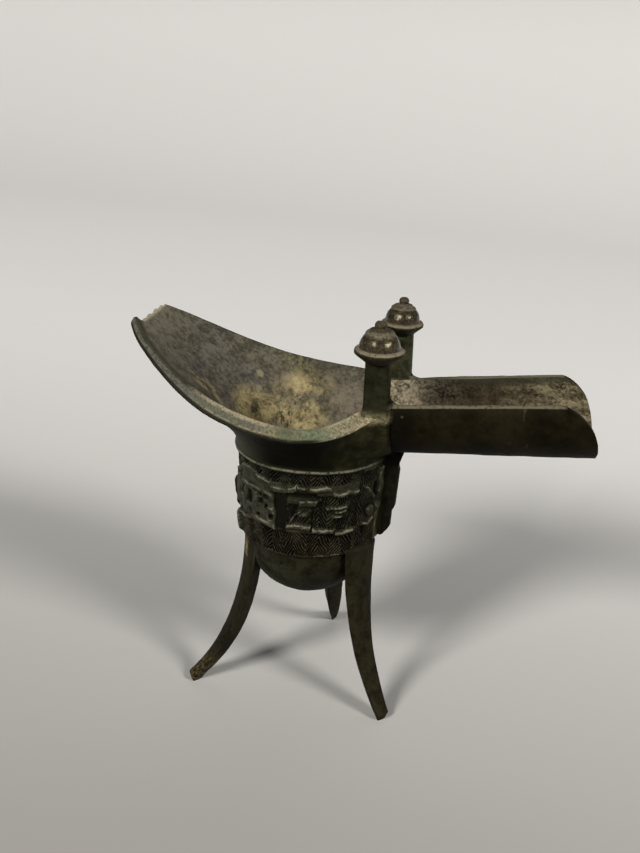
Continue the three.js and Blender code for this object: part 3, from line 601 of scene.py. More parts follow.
# Hollow, channel and broken tail
# The inside of the cup and of the spout is open, and the end of the tail has broken away along a
# crooked, chipped edge.
BREAK_LINE = [
    (-16, -72), (-12.6, -70.6), (-11, -70.6), (-10.3, -69.9), (-10, -68.2), (-9.8, -67.3), (-7.2, -67.4),
    (-5, -67.3), (-3.7, -67.5), (-1.1, -67.9), (0.6, -67.3), (2.6, -67.4), (3.6, -67.9), (5.4, -68),
    (6.5, -67.6), (7.9, -67.7), (9.7, -67.9), (11, -67.3), (12.5, -67.2), (16, -67),
]
BREAK_POINTS, BREAK_LEAN, BREAK_MIDDLE_Z, BEYOND_X, BEYOND_Y = 81, 0.05, 145, -120, 40
CHIPS = [(0.35, 1.1, 3), (0.2, 2.7, 9)]
CHANNEL_ROWS, CHANNEL_LIFT, CHANNEL_PAST_END = 46, 9, 1.3
combine(cup, cup_space, "DIFFERENCE")
channel_length = np.linspace(0, CHANNEL_PAST_END * SPOUT_END_X, CHANNEL_ROWS)
spout_space = lofted("spout_space", [spout_row(x, -SPOUT_WALL, CHANNEL_LIFT) for x in channel_length])
give_finish(spout_space, CHANNEL)
combine(cup, spout_space, "DIFFERENCE")

span = np.linspace(BREAK_LINE[0][0], BREAK_LINE[-1][0], BREAK_POINTS)
broken = np.interp(span, [p[0] for p in BREAK_LINE], [p[1] for p in BREAK_LINE])
chips = [sum(size * noise.noise(Vector((y * rate, row, 0))) for size, rate, row in CHIPS) for y in span]
outline = [(BEYOND_X, -BEYOND_Y)] + [(x + chip, y) for x, chip, y in zip(broken, chips, span)]
outline.append((BEYOND_X, BEYOND_Y))
lost_tail = lofted("lost_tail", [
    [(x + BREAK_LEAN * (z - BREAK_MIDDLE_Z), y, z) for x, y in outline] for z in (0, ABOVE_ALL_Z)
])
give_finish(lost_tail, BREAK)
combine(cup, lost_tail, "DIFFERENCE")

# Posts and their heads
# Two square posts that stand on the rim beside the spout, each with a head that looks turned: a sloping
# underside, a sharp brim, a dome, a step and a knob. They were cast with the cup.
POST_X, POST_Y, POST_SIZE_X, POST_SIZE_Y, POST_CORNER = 28.4, 18, 8.8, 6, 1.4
POST_FOOT_Z, POST_FOOT_Y, POST_FOOT_SIZE_Y, POST_SWELL_Z, POST_SWELL = 117, 16.7, 3, 125.1, 1
POST_NARROWS_Z, POST_WAIST_Z, POST_TOP_Z, POST_EASED = 127, 129, 147, 0.1
FILLET_INNER_Y, FILLET_OUTER_Y, FILLET_FOOT_Z = 15.1, 17, 127
FILLET_TOP = [(31, 133), (32.6, 132.6), (33.2, 130.9), (34.1, 129.8), (35.6, 129.2), (38, 128.9)]
CAP_Z, HEAD_AROUND, HEAD_LUMP, HEAD_LUMP_RATE, HEADS_APART = 145.4, 64, (0.22, 0.22, 0.132), 0.42, 40
HEAD_PROFILE = [
    (0, 0), (0.48, 0), (0.62, 0.05), (0.8, 0.14), (0.95, 0.215), (0.995, 0.245), (1, 0.28), (0.98, 0.31),
    (0.9, 0.33), (0.83, 0.335), (0.815, 0.355), (0.815, 0.4), (0.79, 0.48), (0.74, 0.56), (0.66, 0.635),
    (0.585, 0.675), (0.59, 0.69), (0.58, 0.715), (0.55, 0.73), (0.45, 0.735), (0.435, 0.745), (0.44, 0.765),
    (0.42, 0.785), (0.3, 0.795), (0.225, 0.805), (0.205, 0.83), (0.235, 0.87), (0.24, 0.905), (0.215, 0.95),
    (0.15, 0.985), (0, 1),
]


def post_row(z, grown, size_y, y):
    row = []
    for quarter, (across_x, across_y) in enumerate([(1, 1), (-1, 1), (-1, -1), (1, -1)]):
        for part in (0, 22.5, 45, 67.5, 90):
            a = math.radians(90 * quarter + part)
            row.append((
                POST_X + across_x * ((POST_SIZE_X + grown) / 2 - POST_CORNER) + POST_CORNER * math.cos(a),
                y + across_y * (size_y / 2 - POST_CORNER) + POST_CORNER * math.sin(a), z,
            ))
    return row


for side, brim, height in [(1, 8.1, 14.4), (-1, 9.1, 15.2)]:
    y = side * POST_Y
    post = lofted("post", [
        post_row(POST_FOOT_Z, 0, POST_FOOT_SIZE_Y, side * POST_FOOT_Y),
        post_row(POST_SWELL_Z, POST_SWELL, POST_SIZE_Y + POST_SWELL / 2, side * (POST_Y + POST_SWELL / 4)),
        post_row(
            POST_NARROWS_Z, 0.75 * POST_SWELL, POST_SIZE_Y + 2 * POST_EASED, side * (POST_Y + POST_EASED),
        ),
        post_row(POST_WAIST_Z, POST_SWELL / 2, POST_SIZE_Y, y),
        post_row(POST_TOP_Z, 0, POST_SIZE_Y, y),
    ])
    combine(cup, post)
    inner, outer = side * FILLET_INNER_Y, side * FILLET_OUTER_Y
    fillet = lofted("fillet", [
        [(x, inner, FILLET_FOOT_Z), (x, outer, FILLET_FOOT_Z), (x, outer, top), (x, inner, top)]
        for x, top in FILLET_TOP
    ])
    combine(cup, fillet)
    head = turned("head", [(r * brim, CAP_Z + up * height) for r, up in HEAD_PROFILE], HEAD_AROUND)
    give_finish(head, HEADS)
    corners = corners_of(head)
    apart = Vector((0, HEADS_APART * side, 0))
    lumps = [noise.noise_vector((Vector(c) + apart) * HEAD_LUMP_RATE) for c in corners]
    place_corners(head, corners + np.array(lumps) * HEAD_LUMP)
    head.location = (POST_X, y, 0)
    bpy.ops.object.transform_apply()
    combine(cup, head)

# The finished casting
# The joined casting is made a little uneven, as hand cut clay moulds leave it, and taken from millimetres
# about the bowl's axis to the part's own frame.
CUP_AXIS = Vector((-19.0844, -3.3575, 0))
BESIDE_SPOUT_X, BESIDE_SPOUT_OVER, BESIDE_SPOUT_SHARE = 8, 16, 0.5
UNEVEN, EVEN_FEET, SHARP_EDGE = [(0.05, 0.35), (0.2, 0.12)], 8, 50
MM = 0.001
corners = corners_of(cup)
x, y, z = corners.T
reach = np.where(x > MOUTH_X, MOUTH_TO_SPOUT, MOUTH_TO_TAIL)
around = np.arctan2(y / MOUTH_HALF_WIDTH, (x - MOUTH_X) / reach)
edge = rim(around, 0, 0, 0)
outwards = np.sign(np.hypot(x, y) - np.hypot(edge[:, 0], edge[:, 1]))
lip_share = np.hypot(x - edge[:, 0], y - edge[:, 1]) * outwards / lip_width(around)
beside_spout = eased(np.clip((x - BESIDE_SPOUT_X) / BESIDE_SPOUT_OVER, 0, 1))
lip_share = lerp(lip_share, np.minimum(lip_share, BESIDE_SPOUT_SHARE), beside_spout)
ground = lerp(BAND_BOTTOM_RADIUS, BAND_TOP_RADIUS, (z - BAND_BOTTOM_Z) / band_height)
ground = np.where(z > BAND_TOP_Z, NECK_RADIUS, ground)
ends = np.empty(2 * len(cup.data.edges), int)
cup.data.edges.foreach_get("vertices", ends)
one, other = ends.reshape(-1, 2).T
normals = np.empty(3 * len(corners))
cup.data.vertices.foreach_get("normal", normals)
normals = normals.reshape(-1, 3)
step = corners[other] - corners[one]
step /= np.linalg.norm(step, axis=1, keepdims=True) + 1e-9


def gathered(at_one, at_other):
    return np.bincount(one, at_one, len(corners)) + np.bincount(other, at_other, len(corners))


touching = np.maximum(1, gathered(np.ones(len(one)), np.ones(len(one))))
keen = gathered(-(normals[one] * step).sum(1), (normals[other] * step).sum(1)) / touching
keen = 0.5 * keen + 0.5 * gathered(keen[other], keen[one]) / touching
for name, values in [("lip_share", lip_share), ("proud", np.hypot(x, y) - ground), ("keen", keen)]:
    cup.data.attributes.new(name, "FLOAT", "POINT").data.foreach_set("value", values.astype(np.float32))
for i, corner in enumerate(corners):
    at = Vector(corner)
    uneven = sum((noise.noise_vector(at * rate) * size for rate, size in UNEVEN), Vector())
    corners[i] += uneven * min(1, at.z / EVEN_FEET)
place_corners(cup, corners)
pick(cup)
cup.location = CUP_AXIS
bpy.ops.object.transform_apply()
cup.scale = (MM, MM, MM)
bpy.ops.object.transform_apply()
bpy.ops.object.shade_smooth_by_angle(angle=math.radians(SHARP_EDGE))
print("jue triangles", sum(len(face.vertices) - 2 for face in cup.data.polygons))

# Surface of the bronze
# Old patina, near black and olive on the outside, grey brown and tan with dry earth inside, worn lighter on
# raised edges, with verdigris about the lip and the feet of the posts. Painted light is mixed in: painted
# shade under the lip, at the spout's root, along the lip's inner edge and in the band's creases, painted
# sheen on the left, painted light on the far post, painted highlights on the band's upward edges and a
# painted pool of light inside. Places are in millimetres on the cup.
GRAIN = 0.62
BRONZE_SHEEN = (1, 0.9, 0.6, 1)


class Tone:
    """A value, colour or place on its way through a material's nodes."""

    def __init__(self, tree, socket=None):
        self.tree, self.socket = tree, socket

    def node(self, kind, settings, sockets, out=0):
        made = self.tree.nodes.new(kind)
        for name, value in settings.items():
            setattr(made, name, value)
        for name, value in sockets.items():
            if isinstance(value, Tone):
                self.tree.links.new(value.socket, made.inputs[name])
            else:
                made.inputs[name].default_value = value
        return Tone(self.tree, made.outputs[out])

    def sum(self, operation, a, b):
        return self.node("ShaderNodeMath", {"operation": operation}, {0: a, 1: b})

    def moved(self, operation, *by):
        return self.node("ShaderNodeVectorMath", {"operation": operation}, dict(enumerate([self, *by])))

    def axes(self):
        return [self.node("ShaderNodeSeparateXYZ", {}, {0: self}, out=i) for i in range(3)]

    def __add__(self, other):
        return self.sum("ADD", self, other)

    __radd__ = __add__

    def __sub__(self, other):
        return self.sum("SUBTRACT", self, other)

    def __mul__(self, other):
        return self.sum("MULTIPLY", self, other)

    __rmul__ = __mul__

    def __pow__(self, other):
        return self.sum("POWER", self, other)


def ramp(value, low, high):
    return value.node("ShaderNodeMapRange", {"interpolation_type": "SMOOTHSTEP"}, {0: value, 1: low, 2: high})


def blend(share, a, b):
    sides = {i: colour if isinstance(colour, Tone) else (*colour, 1) for i, colour in ((6, a), (7, b))}
    return share.node("ShaderNodeMix", {"data_type": "RGBA"}, {0: share, **sides}, out=2)


def paint(colour, coats):
    for share, tone in coats:
        colour = blend(share, colour, tone)
    return colour


def between(tone, low, high, dark, pale):
    return blend(ramp(tone, low, high), dark, pale)


def cloud(at, size, detail, stretch=(1, 1, 1)):
    scaled = at.moved("MULTIPLY", [s / size for s in stretch])
    grain = {"Vector": scaled, "Scale": 1, "Detail": detail, "Roughness": GRAIN}
    return at.node("ShaderNodeTexNoise", {}, grain)


def near(at, spot, inner, outer, stretch=(1, 1, 1)):
    away = at.moved("SUBTRACT", spot).moved("MULTIPLY", stretch)
    return ramp(at.node("ShaderNodeVectorMath", {"operation": "LENGTH"}, {0: away}, out=1), outer, inner)


def new_surface(name):
    made = bpy.data.materials.new(name)
    made.use_nodes = True
    start = Tone(made.node_tree)
    place = start.node("ShaderNodeTexCoord", {}, {}, out=3)
    at = place.moved("MULTIPLY_ADD", (1 / MM,) * 3, -CUP_AXIS)
    return made, at, *at.axes()


def mark_of(at, name):
    return at.node("ShaderNodeAttribute", {"attribute_name": name}, {}, out=2)


def finish_surface(made, colour, roughness, gloss, relief, depth):
    shader = made.node_tree.nodes["Principled BSDF"]
    shader.inputs["Specular Tint"].default_value = BRONZE_SHEEN
    shader.inputs["Specular IOR Level"].default_value = gloss
    bump = relief.node("ShaderNodeBump", {}, {"Height": relief, "Strength": 1, "Distance": depth * MM})
    for name, value in [("Base Color", colour), ("Roughness", roughness), ("Normal", bump)]:
        made.node_tree.links.new(value.socket, shader.inputs[name])


outside, at, x, y, z = new_surface("bronze_outside")
broad, mottle, speck = cloud(at, 14, 4), cloud(at, 5, 6), cloud(at, 1.3, 4)
rough = mottle + 0.4 * speck
colour = between(mottle, 0.35, 0.65, (0.0085, 0.008, 0.004), (0.021, 0.019, 0.0105))
bowl = ramp(z, 66, 63) * ramp(z, 38, 44)
# The bowl's tone is painted lighter toward the left: painted sheen over its mottled patina.
bowl_tone_and_sheen = between(x, 12, -16, (0.017, 0.0155, 0.0085), (0.032, 0.0315, 0.021))
off_axis = (x * x + y * y) ** 0.5
legs = ramp(z, 52, 40) + ramp(off_axis, 24.9, 25.3) * ramp(z, 66.5, 65.5)
leg_tone = between(rough, 0.5, 0.85, (0.0052, 0.0043, 0.002), (0.0185, 0.0158, 0.0082))
# The neck is painted near black as painted shade under the lip's overhang, with painted sheen growing lighter
# toward the left; toward the spout it turns olive.
neck = ramp(z, 102.8, 104) * ramp(x, 34.5, 33)
olive = between(mottle, 0.35, 0.65, (0.007, 0.0072, 0.0026), (0.025, 0.0232, 0.008))
neck_shade_and_sheen = between(x, -6, -28, (0.0016, 0.0018, 0.0009), (0.047, 0.048, 0.035))
ridge = ramp(x, 29, 30) * ramp(z, 66.5, 68) * ramp(z, 104.5, 102.5)
ridge_tone = between(rough, 0.55, 0.95, (0.0028, 0.0028, 0.0016), (0.011, 0.0105, 0.006))
spout = ramp(x, 32.5, 34) * ramp(z, 102, 104)
clouded = broad + 0.4 * mottle + 0.25 * speck
brown = between(clouded, 0.62, 1.02, (0.0032, 0.0026, 0.0011), (0.0135, 0.010, 0.0043))
scratch = ramp(cloud(at, 2.8, 2, (1, 1, 0.35)), 0.62, 0.68) * near(at, (82, -18, 128), 3, 12)
scratch = scratch + near(at, (38, -17.2, 125.4), 0.3, 0.8)
gold = ramp(near(at, (-22.3, -13, 60), 0, 8, (1, 1, 0.7)) + 0.7 * mottle + 1.2 * speck, 1.5, 2)
toe = near(at, (-39, -21, 6), 2, 13) * ramp(speck, 0.4, 0.62)
post = ramp(z, 124, 126) * ramp(x, 22.5, 23.5) * ramp(x, 34, 33.4)
# The far post is painted lighter than the near one: painted light over its dark green brown.
post_tone_and_light = between(y, -10, 10, (0.018, 0.018, 0.009), (0.042, 0.042, 0.022))
foot_tan = between(speck, 0.35, 0.65, (0.06, 0.054, 0.027), (0.20, 0.17, 0.095))
post_foot = ramp(z + 5 * mottle, 131, 127) * ramp(z, 121.5, 124) * ramp(x, 15, 21) * ramp(x, 35, 33.4)
edge_z = z - spout_top(x)
edge = ramp(edge_z, -0.9, -0.4) * ramp(edge_z, 1.4, 1) * spout * ramp(speck, 0.28, 0.5)
ring = ramp(mark_of(at, "proud"), 0.4, 0.62) * ramp(z, 101.6, 102.2) * ramp(z, 103.8, 103.3) * ramp(x, 29, 26)
skin = broad + 0.5 * mottle + 0.25 * speck
colour = paint(colour, [
    (bowl, blend(ramp(rough, 0.5, 0.85), (0.0055, 0.005, 0.0025), bowl_tone_and_sheen)), (legs, leg_tone),
    (neck, blend(ramp(x, 8, 24) * ramp(broad, 0.3, 0.6), neck_shade_and_sheen, olive)), (ridge, ridge_tone), (spout, brown),
    # The spout is painted darker toward its root by the collar: painted shadow.
    (spout * ramp(x, 50, 36) * 0.8, (0.0018, 0.0017, 0.0010)), (spout * scratch * 0.6, (0.06, 0.052, 0.034)),
    (gold, (0.23, 0.18, 0.092)), (toe * 0.7, (0.12, 0.085, 0.04)),
    (post, blend(ramp(rough, 0.5, 0.85), (0.007, 0.0075, 0.0035), post_tone_and_light)), (post_foot * 0.9, foot_tan),
    (edge * 0.8, (0.15, 0.132, 0.085)), (ring * ramp(speck + 0.5 * mottle, 0.5, 0.9), (0.15, 0.148, 0.10)),
])
finish_surface(outside, colour, 0.5 + 0.25 * mottle - 0.25 * ring, 0.06, skin, 0.35)

inside, at, x, y, z = new_surface("bronze_inside")
broad, soft, mottle = cloud(at, 18, 3), cloud(at, 7, 4), cloud(at, 3, 6)
speck, fine = cloud(at, 1.3, 5), cloud(at, 0.55, 3)
around = at.sum("ARCTAN2", y, x)
drawn = at.node("ShaderNodeCombineXYZ", {}, {0: around * 16, 1: z * 0.35, 2: (x * x + y * y) ** 0.5 * 0.2})
streak = cloud(drawn, 1.6, 5)
share = mark_of(at, "lip_share")
tone = 0.24 * soft + 0.26 * mottle + 0.33 * speck + 0.17 * streak
colour = between(tone, 0.42, 0.59, (0.040, 0.036, 0.0255), (0.118, 0.106, 0.077))
cool = between(tone, 0.42, 0.59, (0.040, 0.037, 0.030), (0.118, 0.106, 0.086))
tan = between(tone, 0.38, 0.62, (0.155, 0.119, 0.048), (0.43, 0.354, 0.176))
earth_and_light = near(at, (-11, 26, 108.5), 5, 20) * ramp(broad + 0.6 * soft, 0.45, 0.95)
# This second tan patch, low on the left, is painted light laid where the near post's shadow falls inside the
# cup.
earth_and_light = earth_and_light + near(at, (-27, 7, 108.5), 4, 17) * ramp(soft, 0.2, 0.55)
earth_and_light = earth_and_light + near(at, (-40, -11, 124), 3, 13, (0.7, 1.4, 1)) * ramp(soft, 0.36, 0.6) * 0.6
rust = near(at, (-15, 28, 113), 4, 15) * ramp(mottle, 0.44, 0.62)
verdigris = near(at, (-17, 35, 123.5), 2, 11) * ramp(speck + 0.4 * mottle, 0.66, 0.84)
spout_side = ramp(x, -6, 8) * ramp(z, 122, 115) * 0.8 * ramp(tone, 0.32, 0.58)
# A dark line along the lip's inner edge toward the tail is painted shadow.
groove_shadow = ramp(share, -2.2, -0.6) * ramp(share, 0.1, -0.3) * ramp(x, -24, -44) * ramp(y, -4, -12)
upper_spot = near(at, (-29.5, 21.8, 119.8), 0.9, 1.9, (0.9, 1.1, 0.75))
lower_spot = near(at, (-28.1, 16.8, 115.3), 0.9, 1.9, (1.1, 0.8, 1.3))
crack = near(at, (-17.5, 19.6, 103.5), 1.5, 6, (1, 1, 0.6)) * ramp(cloud(at, 2, 4, (1, 1, 0.5)), 0.54, 0.6)
pits = ramp(fine + 0.5 * speck, 0.6, 0.46)
flecks = ramp(fine + 0.3 * speck, 0.8, 0.92)
chipped = ramp(x + 1.6 * speck, -65.2, -66.4) * ramp(y, -9, -8)
colour = paint(colour, [
    (ramp(broad, 0.42, 0.6) * ramp(x, -16, -34) * 0.7, cool),
    (ramp(earth_and_light, 0, 1.05) * ramp(tone, 0.32, 0.52), tan), (rust * 0.3, (0.13, 0.088, 0.05)),
    (verdigris * 0.7, (0.15, 0.145, 0.06)), (spout_side, (0.215, 0.18, 0.131)),
    (ramp(x, -48, -63) * ramp(tone, 0.36, 0.58) * 0.6, (0.150, 0.134, 0.098)),
    (groove_shadow * 0.75, (0.026, 0.021, 0.010)), (upper_spot * 0.7, (0.23, 0.205, 0.12)),
    (lower_spot * 0.7, (0.23, 0.205, 0.12)), (crack * 0.8, (0.024, 0.017, 0.009)),
    (pits * 0.5, (0.020, 0.0175, 0.011)), (flecks * 0.35, (0.24, 0.215, 0.165)),
    (chipped * 0.85, (0.36, 0.32, 0.23)),
])
finish_surface(inside, colour, 0.55 + 0.25 * speck, 0.15, mottle + 0.5 * speck + 0.2 * streak, 0.3)

lip, at, x, y, z = new_surface("bronze_lip")
mottle, speck, fine = cloud(at, 4.5, 6), cloud(at, 1.2, 5), cloud(at, 0.6, 3)
share = mark_of(at, "lip_share")
tail_grey = between(speck + 0.6 * mottle, 0.6, 1, (0.036, 0.036, 0.028), (0.105, 0.103, 0.083))
tail_grey = blend(ramp(share, 0.45, 0.12) * 0.8, tail_grey, (0.024, 0.021, 0.012))
tan = between(speck + 0.4 * fine, 0.46, 0.9, (0.088, 0.074, 0.041), (0.295, 0.256, 0.163))
cool = between(speck + 0.4 * fine, 0.46, 0.9, (0.062, 0.066, 0.040), (0.19, 0.193, 0.128))
middle = blend(ramp(mottle, 0.42, 0.64) * ramp(x, 26, 4), tan, cool)
slate = ramp(x + 8 * mottle, 1, -8) * ramp(share, 0.2, 0.4) * ramp(share, 0.88, 0.72)
middle = blend(slate * 0.7, middle, (0.064, 0.064, 0.051))
front = ramp(x + 12 * mottle, -36, -20) * ramp(y, -16, -22)
colour = blend(front, tail_grey, middle)
crest = front * ramp(share, 0.3, 0.08) * ramp(speck, 0.3, 0.5)
glint = near(at, (20, -31, 121), 2, 8) * ramp(speck, 0.58, 0.66) * ramp(z, 121.6, 121)
stained = near(at, (6, -39, 121), 4, 16) * ramp(mottle + 0.4 * speck, 0.35, 0.7)
green = near(at, (11, -38, 121), 2, 11) * ramp(speck + 0.3 * fine, 0.6, 0.74)
# The lip is painted near black at its outer edge, where it rounds down into the neck: painted shade.
dark = ramp(share + 0.2 * speck, 0.95, 1.12)
colour = paint(colour, [
    (crest * 0.55, (0.34, 0.295, 0.19)), (glint * 0.7, (0.55, 0.53, 0.46)),
    (stained * 0.8, (0.062, 0.068, 0.037)), (green * 0.7, (0.13, 0.175, 0.115)),
    (dark, (0.007, 0.007, 0.0045)), (ramp(y, 12, 18) * 0.85, (0.014, 0.014, 0.009)),
])
finish_surface(lip, colour, 0.5 + 0.25 * speck, 0.2, mottle + 0.6 * speck + 0.3 * fine, 0.35)

heads, at, x, y, z = new_surface("bronze_heads")
mottle, speck, fine = cloud(at, 3, 5), cloud(at, 1, 4), cloud(at, 0.6, 3)
colour = between(speck + 0.5 * mottle, 0.6, 0.95, (0.020, 0.0155, 0.0085), (0.062, 0.050, 0.032))
level = z + 0.25 * ramp(y, -5, 5)
brim_top = ramp(level, 149.9, 150.2) * ramp(level, 151, 150.5) * ramp(speck, 0.24, 0.52)
steps = ramp(z, 155.2, 156) * ramp(z, 157.6, 156.8) * ramp(speck + 0.4 * fine, 0.5, 0.75)
under = ramp(level, 150.0, 149.7)
domed = ramp(z, 150.4, 151.4) * ramp(z, 156, 155)
colour = paint(colour, [
    (brim_top * 0.85, (0.22, 0.188, 0.128)), (steps * 0.7, (0.16, 0.138, 0.09)),
    (under, between(speck, 0.5, 0.68, (0.008, 0.0065, 0.0034), (0.05, 0.040, 0.023))),
    (ramp(y, -5, 5) * 0.2, (0.010, 0.008, 0.005)),
])
finish_surface(heads, colour, 0.5 + 0.2 * speck - 0.4 * domed, 0.3, mottle + 0.4 * speck, 0.16)

channel_face, at, x, y, z = new_surface("bronze_channel")
broad, mottle, speck = cloud(at, 9, 5), cloud(at, 4, 6), cloud(at, 1.1, 5)
streak = cloud(at, 1.9, 6, (0.2, 1, 1))
tone = 0.5 * mottle + 0.4 * speck + 0.2 * streak
colour = between(tone, 0.42, 0.7, (0.010, 0.0077, 0.0037), (0.056, 0.043, 0.025))
root = ramp(x + 14 * broad + 10 * mottle, 70, 46)
dust = between(speck, 0.3, 0.7, (0.10, 0.081, 0.054), (0.33, 0.28, 0.195))
mouth_end = ramp(x + 16 * broad, 70, 98)
pale = between(streak + 0.6 * speck, 0.6, 1.05, (0.036, 0.029, 0.0155), (0.205, 0.172, 0.103))
edge_z = z - spout_top(x)
colour = paint(colour, [
    (root * ramp(tone, 0.34, 0.6), dust), (mouth_end * ramp(tone, 0.42, 0.62), pale),
    (ramp(edge_z + 1.6 * mottle, -3.2, -1.2) * ramp(x, 42, 56) * 0.8, (0.014, 0.015, 0.009)),
    (ramp(edge_z, -0.6, -0.3) * 0.8, (0.11, 0.098, 0.065)),
])
finish_surface(channel_face, colour, 0.5 + 0.25 * speck, 0.15, mottle + 0.6 * streak + 0.5 * speck, 0.4)

band_face, at, x, y, z = new_surface("bronze_band")
broad, mottle, speck, fine = cloud(at, 11, 4), cloud(at, 4, 5), cloud(at, 1.1, 4), cloud(at, 0.6, 3)
proud = mark_of(at, "proud")
up = at.node("ShaderNodeNewGeometry", {}, {}, out=1).axes()[2]
keen = mark_of(at, "keen")
# The band's raised parts are painted lighter toward the left: painted sheen.
left = ramp(x, 6, -14)
crest = between(mottle + 0.3 * speck, 0.45, 0.8, (0.0053, 0.0052, 0.0026), (0.0255, 0.025, 0.0148))
left_sheen_tone = between(mottle + 0.3 * speck, 0.45, 0.8, (0.009, 0.0094, 0.0058), (0.036, 0.0372, 0.025))
crest = blend(left, crest, left_sheen_tone)
colour = blend(ramp(proud, -0.45, 0.1), (0.0018, 0.0016, 0.0008), crest)
red = ramp(z, 84, 73) * ramp(broad, 0.42, 0.6)
# Worn high places are painted light only where they face up: wear with painted highlight.
worn = ramp(proud + 0.5 * speck, 0.9, 1.45) * ramp(mottle, 0.36, 0.6) * ramp(up, -0.2, 0.45)
hatch = ramp(keen, 0.12, 0.32) * ramp(proud, 0.5, 0.2) * ramp(speck + 0.6 * mottle, 0.62, 1)
# Keen edges facing up are painted light: painted highlights, partly wear.
edge = ramp(keen, 0.03, 0.14) * ramp(proud, 0.2, 0.6)
edge = edge * ramp(speck + 0.6 * mottle, 0.6, 0.95) * ramp(up, -0.3, 0.3)
beads = ramp(z, 66.2, 66.6) * ramp(z, 67.6, 67.1) * ramp(proud, -0.15, 0.2)
colour = paint(colour, [
    (red * 0.75, between(proud, -0.45, 0.1, (0.004, 0.0025, 0.0012), (0.036, 0.023, 0.012))),
    # Creases are painted near black: painted shade.
    (ramp(keen, -0.03, -0.2) * 0.8, (0.0013, 0.0011, 0.0006)), (worn * 0.85, (0.088, 0.087, 0.062)),
    (hatch * 0.4, (0.10, 0.093, 0.062)), (edge * 0.5, (0.215, 0.21, 0.152)),
    (beads * ramp(speck, 0.35, 0.6), (0.10, 0.098, 0.068)),
])
finish_surface(band_face, colour, 0.45 + 0.2 * mottle - 0.15 * worn, 0.17, speck + 0.6 * fine, 0.2)

broken, at, x, y, z = new_surface("bronze_broken")
mottle, speck = cloud(at, 2.5, 4), cloud(at, 0.9, 4)
colour = between(speck, 0.35, 0.6, (0.10, 0.088, 0.058), (0.42, 0.375, 0.27))
colour = blend(ramp(y, -9.4, -10), colour, (0.022, 0.022, 0.016))
finish_surface(broken, colour, 0.7 + 0.2 * speck, 0.2, mottle + speck, 0.4)

for slot, made in enumerate([outside, inside, lip, heads, channel_face, band_face, broken]):
    cup.data.materials[slot] = made
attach(cup, "root")
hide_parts("jue_cup")

# Paper, lamps and camera
# A pale sheet of paper that curls up behind the cup in a pale room, two soft lamps in front of it on the left
# and right, a weak one behind, and the camera where the photographer stood.
PAPER_FRONT_Y, PAPER_HALF_WIDTH = -2.5, 4
CURL_Y, CURL_RADIUS, CURL_STEP, CURL_END = 0.8, 0.6, 10, 60
PAPER_NEAR, PAPER_FAR = (0.282, 0.274, 0.254), (0.76, 0.747, 0.73)
PAPER_CURL, PAPER_RISE = (0.69, 0.677, 0.661), (0.58, 0.57, 0.556)
sweep = [(PAPER_FRONT_Y, 0), (CURL_Y, 0)]
for degrees in range(CURL_STEP, CURL_END + 1, CURL_STEP):
    a = math.radians(degrees)
    sweep.append((CURL_Y + CURL_RADIUS * math.sin(a), CURL_RADIUS - CURL_RADIUS * math.cos(a)))
paper_sweep = draw_line("paper_sweep", [(-PAPER_HALF_WIDTH, y, z) for y, z in sweep])
bpy.ops.mesh.extrude_edges_move(TRANSFORM_OT_translate={"value": (2 * PAPER_HALF_WIDTH, 0, 0)})
face_outwards()
bpy.ops.object.mode_set(mode="OBJECT")
bpy.ops.object.shade_smooth()
paper = bpy.data.materials.new("paper")
paper.use_nodes = True
start = Tone(paper.node_tree)
place = start.node("ShaderNodeTexCoord", {}, {}, out=3)
_, depth, height = place.axes()
# The paper is painted darker toward the front and lighter behind: painted shade where the lamps' light falls
# off. It is darker again where it curls and rises.
tone = between(depth, -0.3, 0.44, PAPER_NEAR, PAPER_FAR)
tone = blend(ramp(depth, 0.6, 1.2), tone, PAPER_CURL)
tone = blend(ramp(height, 0.12, 0.3), tone, PAPER_RISE)
matt = paper.node_tree.nodes["Principled BSDF"]
paper.node_tree.links.new(tone.socket, matt.inputs["Base Color"])
matt.inputs["Roughness"].default_value = 0.9
matt.inputs["Specular IOR Level"].default_value = 0.1
paper_sweep.data.materials.append(paper)

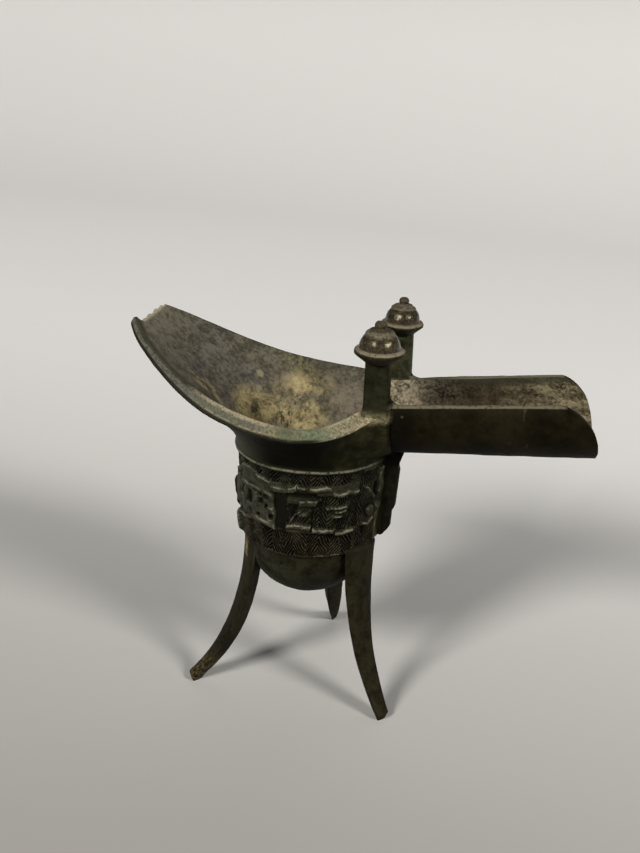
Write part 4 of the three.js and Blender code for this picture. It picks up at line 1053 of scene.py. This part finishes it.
ROOM_LIGHT, ROOM_SEEN, ROOM_TONE = 0.03, 0.6, (1, 0.99, 0.97, 1)
world = bpy.data.worlds.new("studio")
bpy.context.scene.world = world
world.use_nodes = True
world.node_tree.nodes["Background"].inputs["Color"].default_value = ROOM_TONE
seen = Tone(world.node_tree).node("ShaderNodeLightPath", {}, {}, out=0)
strength = ROOM_LIGHT + (ROOM_SEEN - ROOM_LIGHT) * seen
world.node_tree.links.new(strength.socket, world.node_tree.nodes["Background"].inputs["Strength"])
bpy.context.scene.view_settings.view_transform = "Standard"

LAMP_AWAY, LAMP_POWER, LAMP_TONE = 4, 131, (1, 0.985, 0.955)
LAMPS = [
    ("lamp_left", 243.5, 35.5, 1.1, 1.12), ("lamp_right", 335, 34, 1.1, 0.88),
    ("lamp_behind", 95, 50, 2.4, 0.1),
]
for name, turned_by, lifted, size, share in LAMPS:
    a, e = math.radians(turned_by), math.radians(lifted)
    out = Vector((math.cos(a) * math.cos(e), math.sin(a) * math.cos(e), math.sin(e)))
    pick_nothing()
    bpy.ops.object.light_add(type="AREA", location=out * LAMP_AWAY)
    made = bpy.context.object
    made.name = name
    made.data.shape = "DISK"
    made.data.size = size
    made.data.energy = LAMP_POWER * share
    made.data.color = LAMP_TONE
    made.rotation_euler = out.to_track_quat("Z", "Y").to_euler()

AZIMUTH, ELEVATION, ROLL = [math.radians(d) for d in (15.4131, 22.0158, 2.6274)]
AIM, CAMERA_AWAY = Vector((2.6088, 0, 109.6901)), 493.1824
FOCUS_PIXELS, PHOTO_HIGH_PIXELS, FILM_HIGH, SEEN_FROM = 1280, 853, 36, 0.01
level = math.cos(ELEVATION)
back = Vector((math.sin(AZIMUTH) * level, -math.cos(AZIMUTH) * level, math.sin(ELEVATION)))
right = Vector((math.cos(AZIMUTH), math.sin(AZIMUTH), 0))
above = right.cross(-back)
camera_x = math.cos(ROLL) * right + math.sin(ROLL) * above
camera_y = -math.sin(ROLL) * right + math.cos(ROLL) * above
spot = (CUP_AXIS + AIM + back * CAMERA_AWAY) * MM
bpy.ops.object.camera_add(location=spot)
camera = bpy.context.object
turned_to = Matrix((camera_x, camera_y, back)).transposed().to_4x4()
camera.matrix_world = Matrix.Translation(spot) @ turned_to
camera.data.sensor_fit = "VERTICAL"
camera.data.sensor_height = FILM_HIGH
camera.data.lens = FOCUS_PIXELS * FILM_HIGH / PHOTO_HIGH_PIXELS
camera.data.clip_start = SEEN_FROM
bpy.context.scene.camera = camera
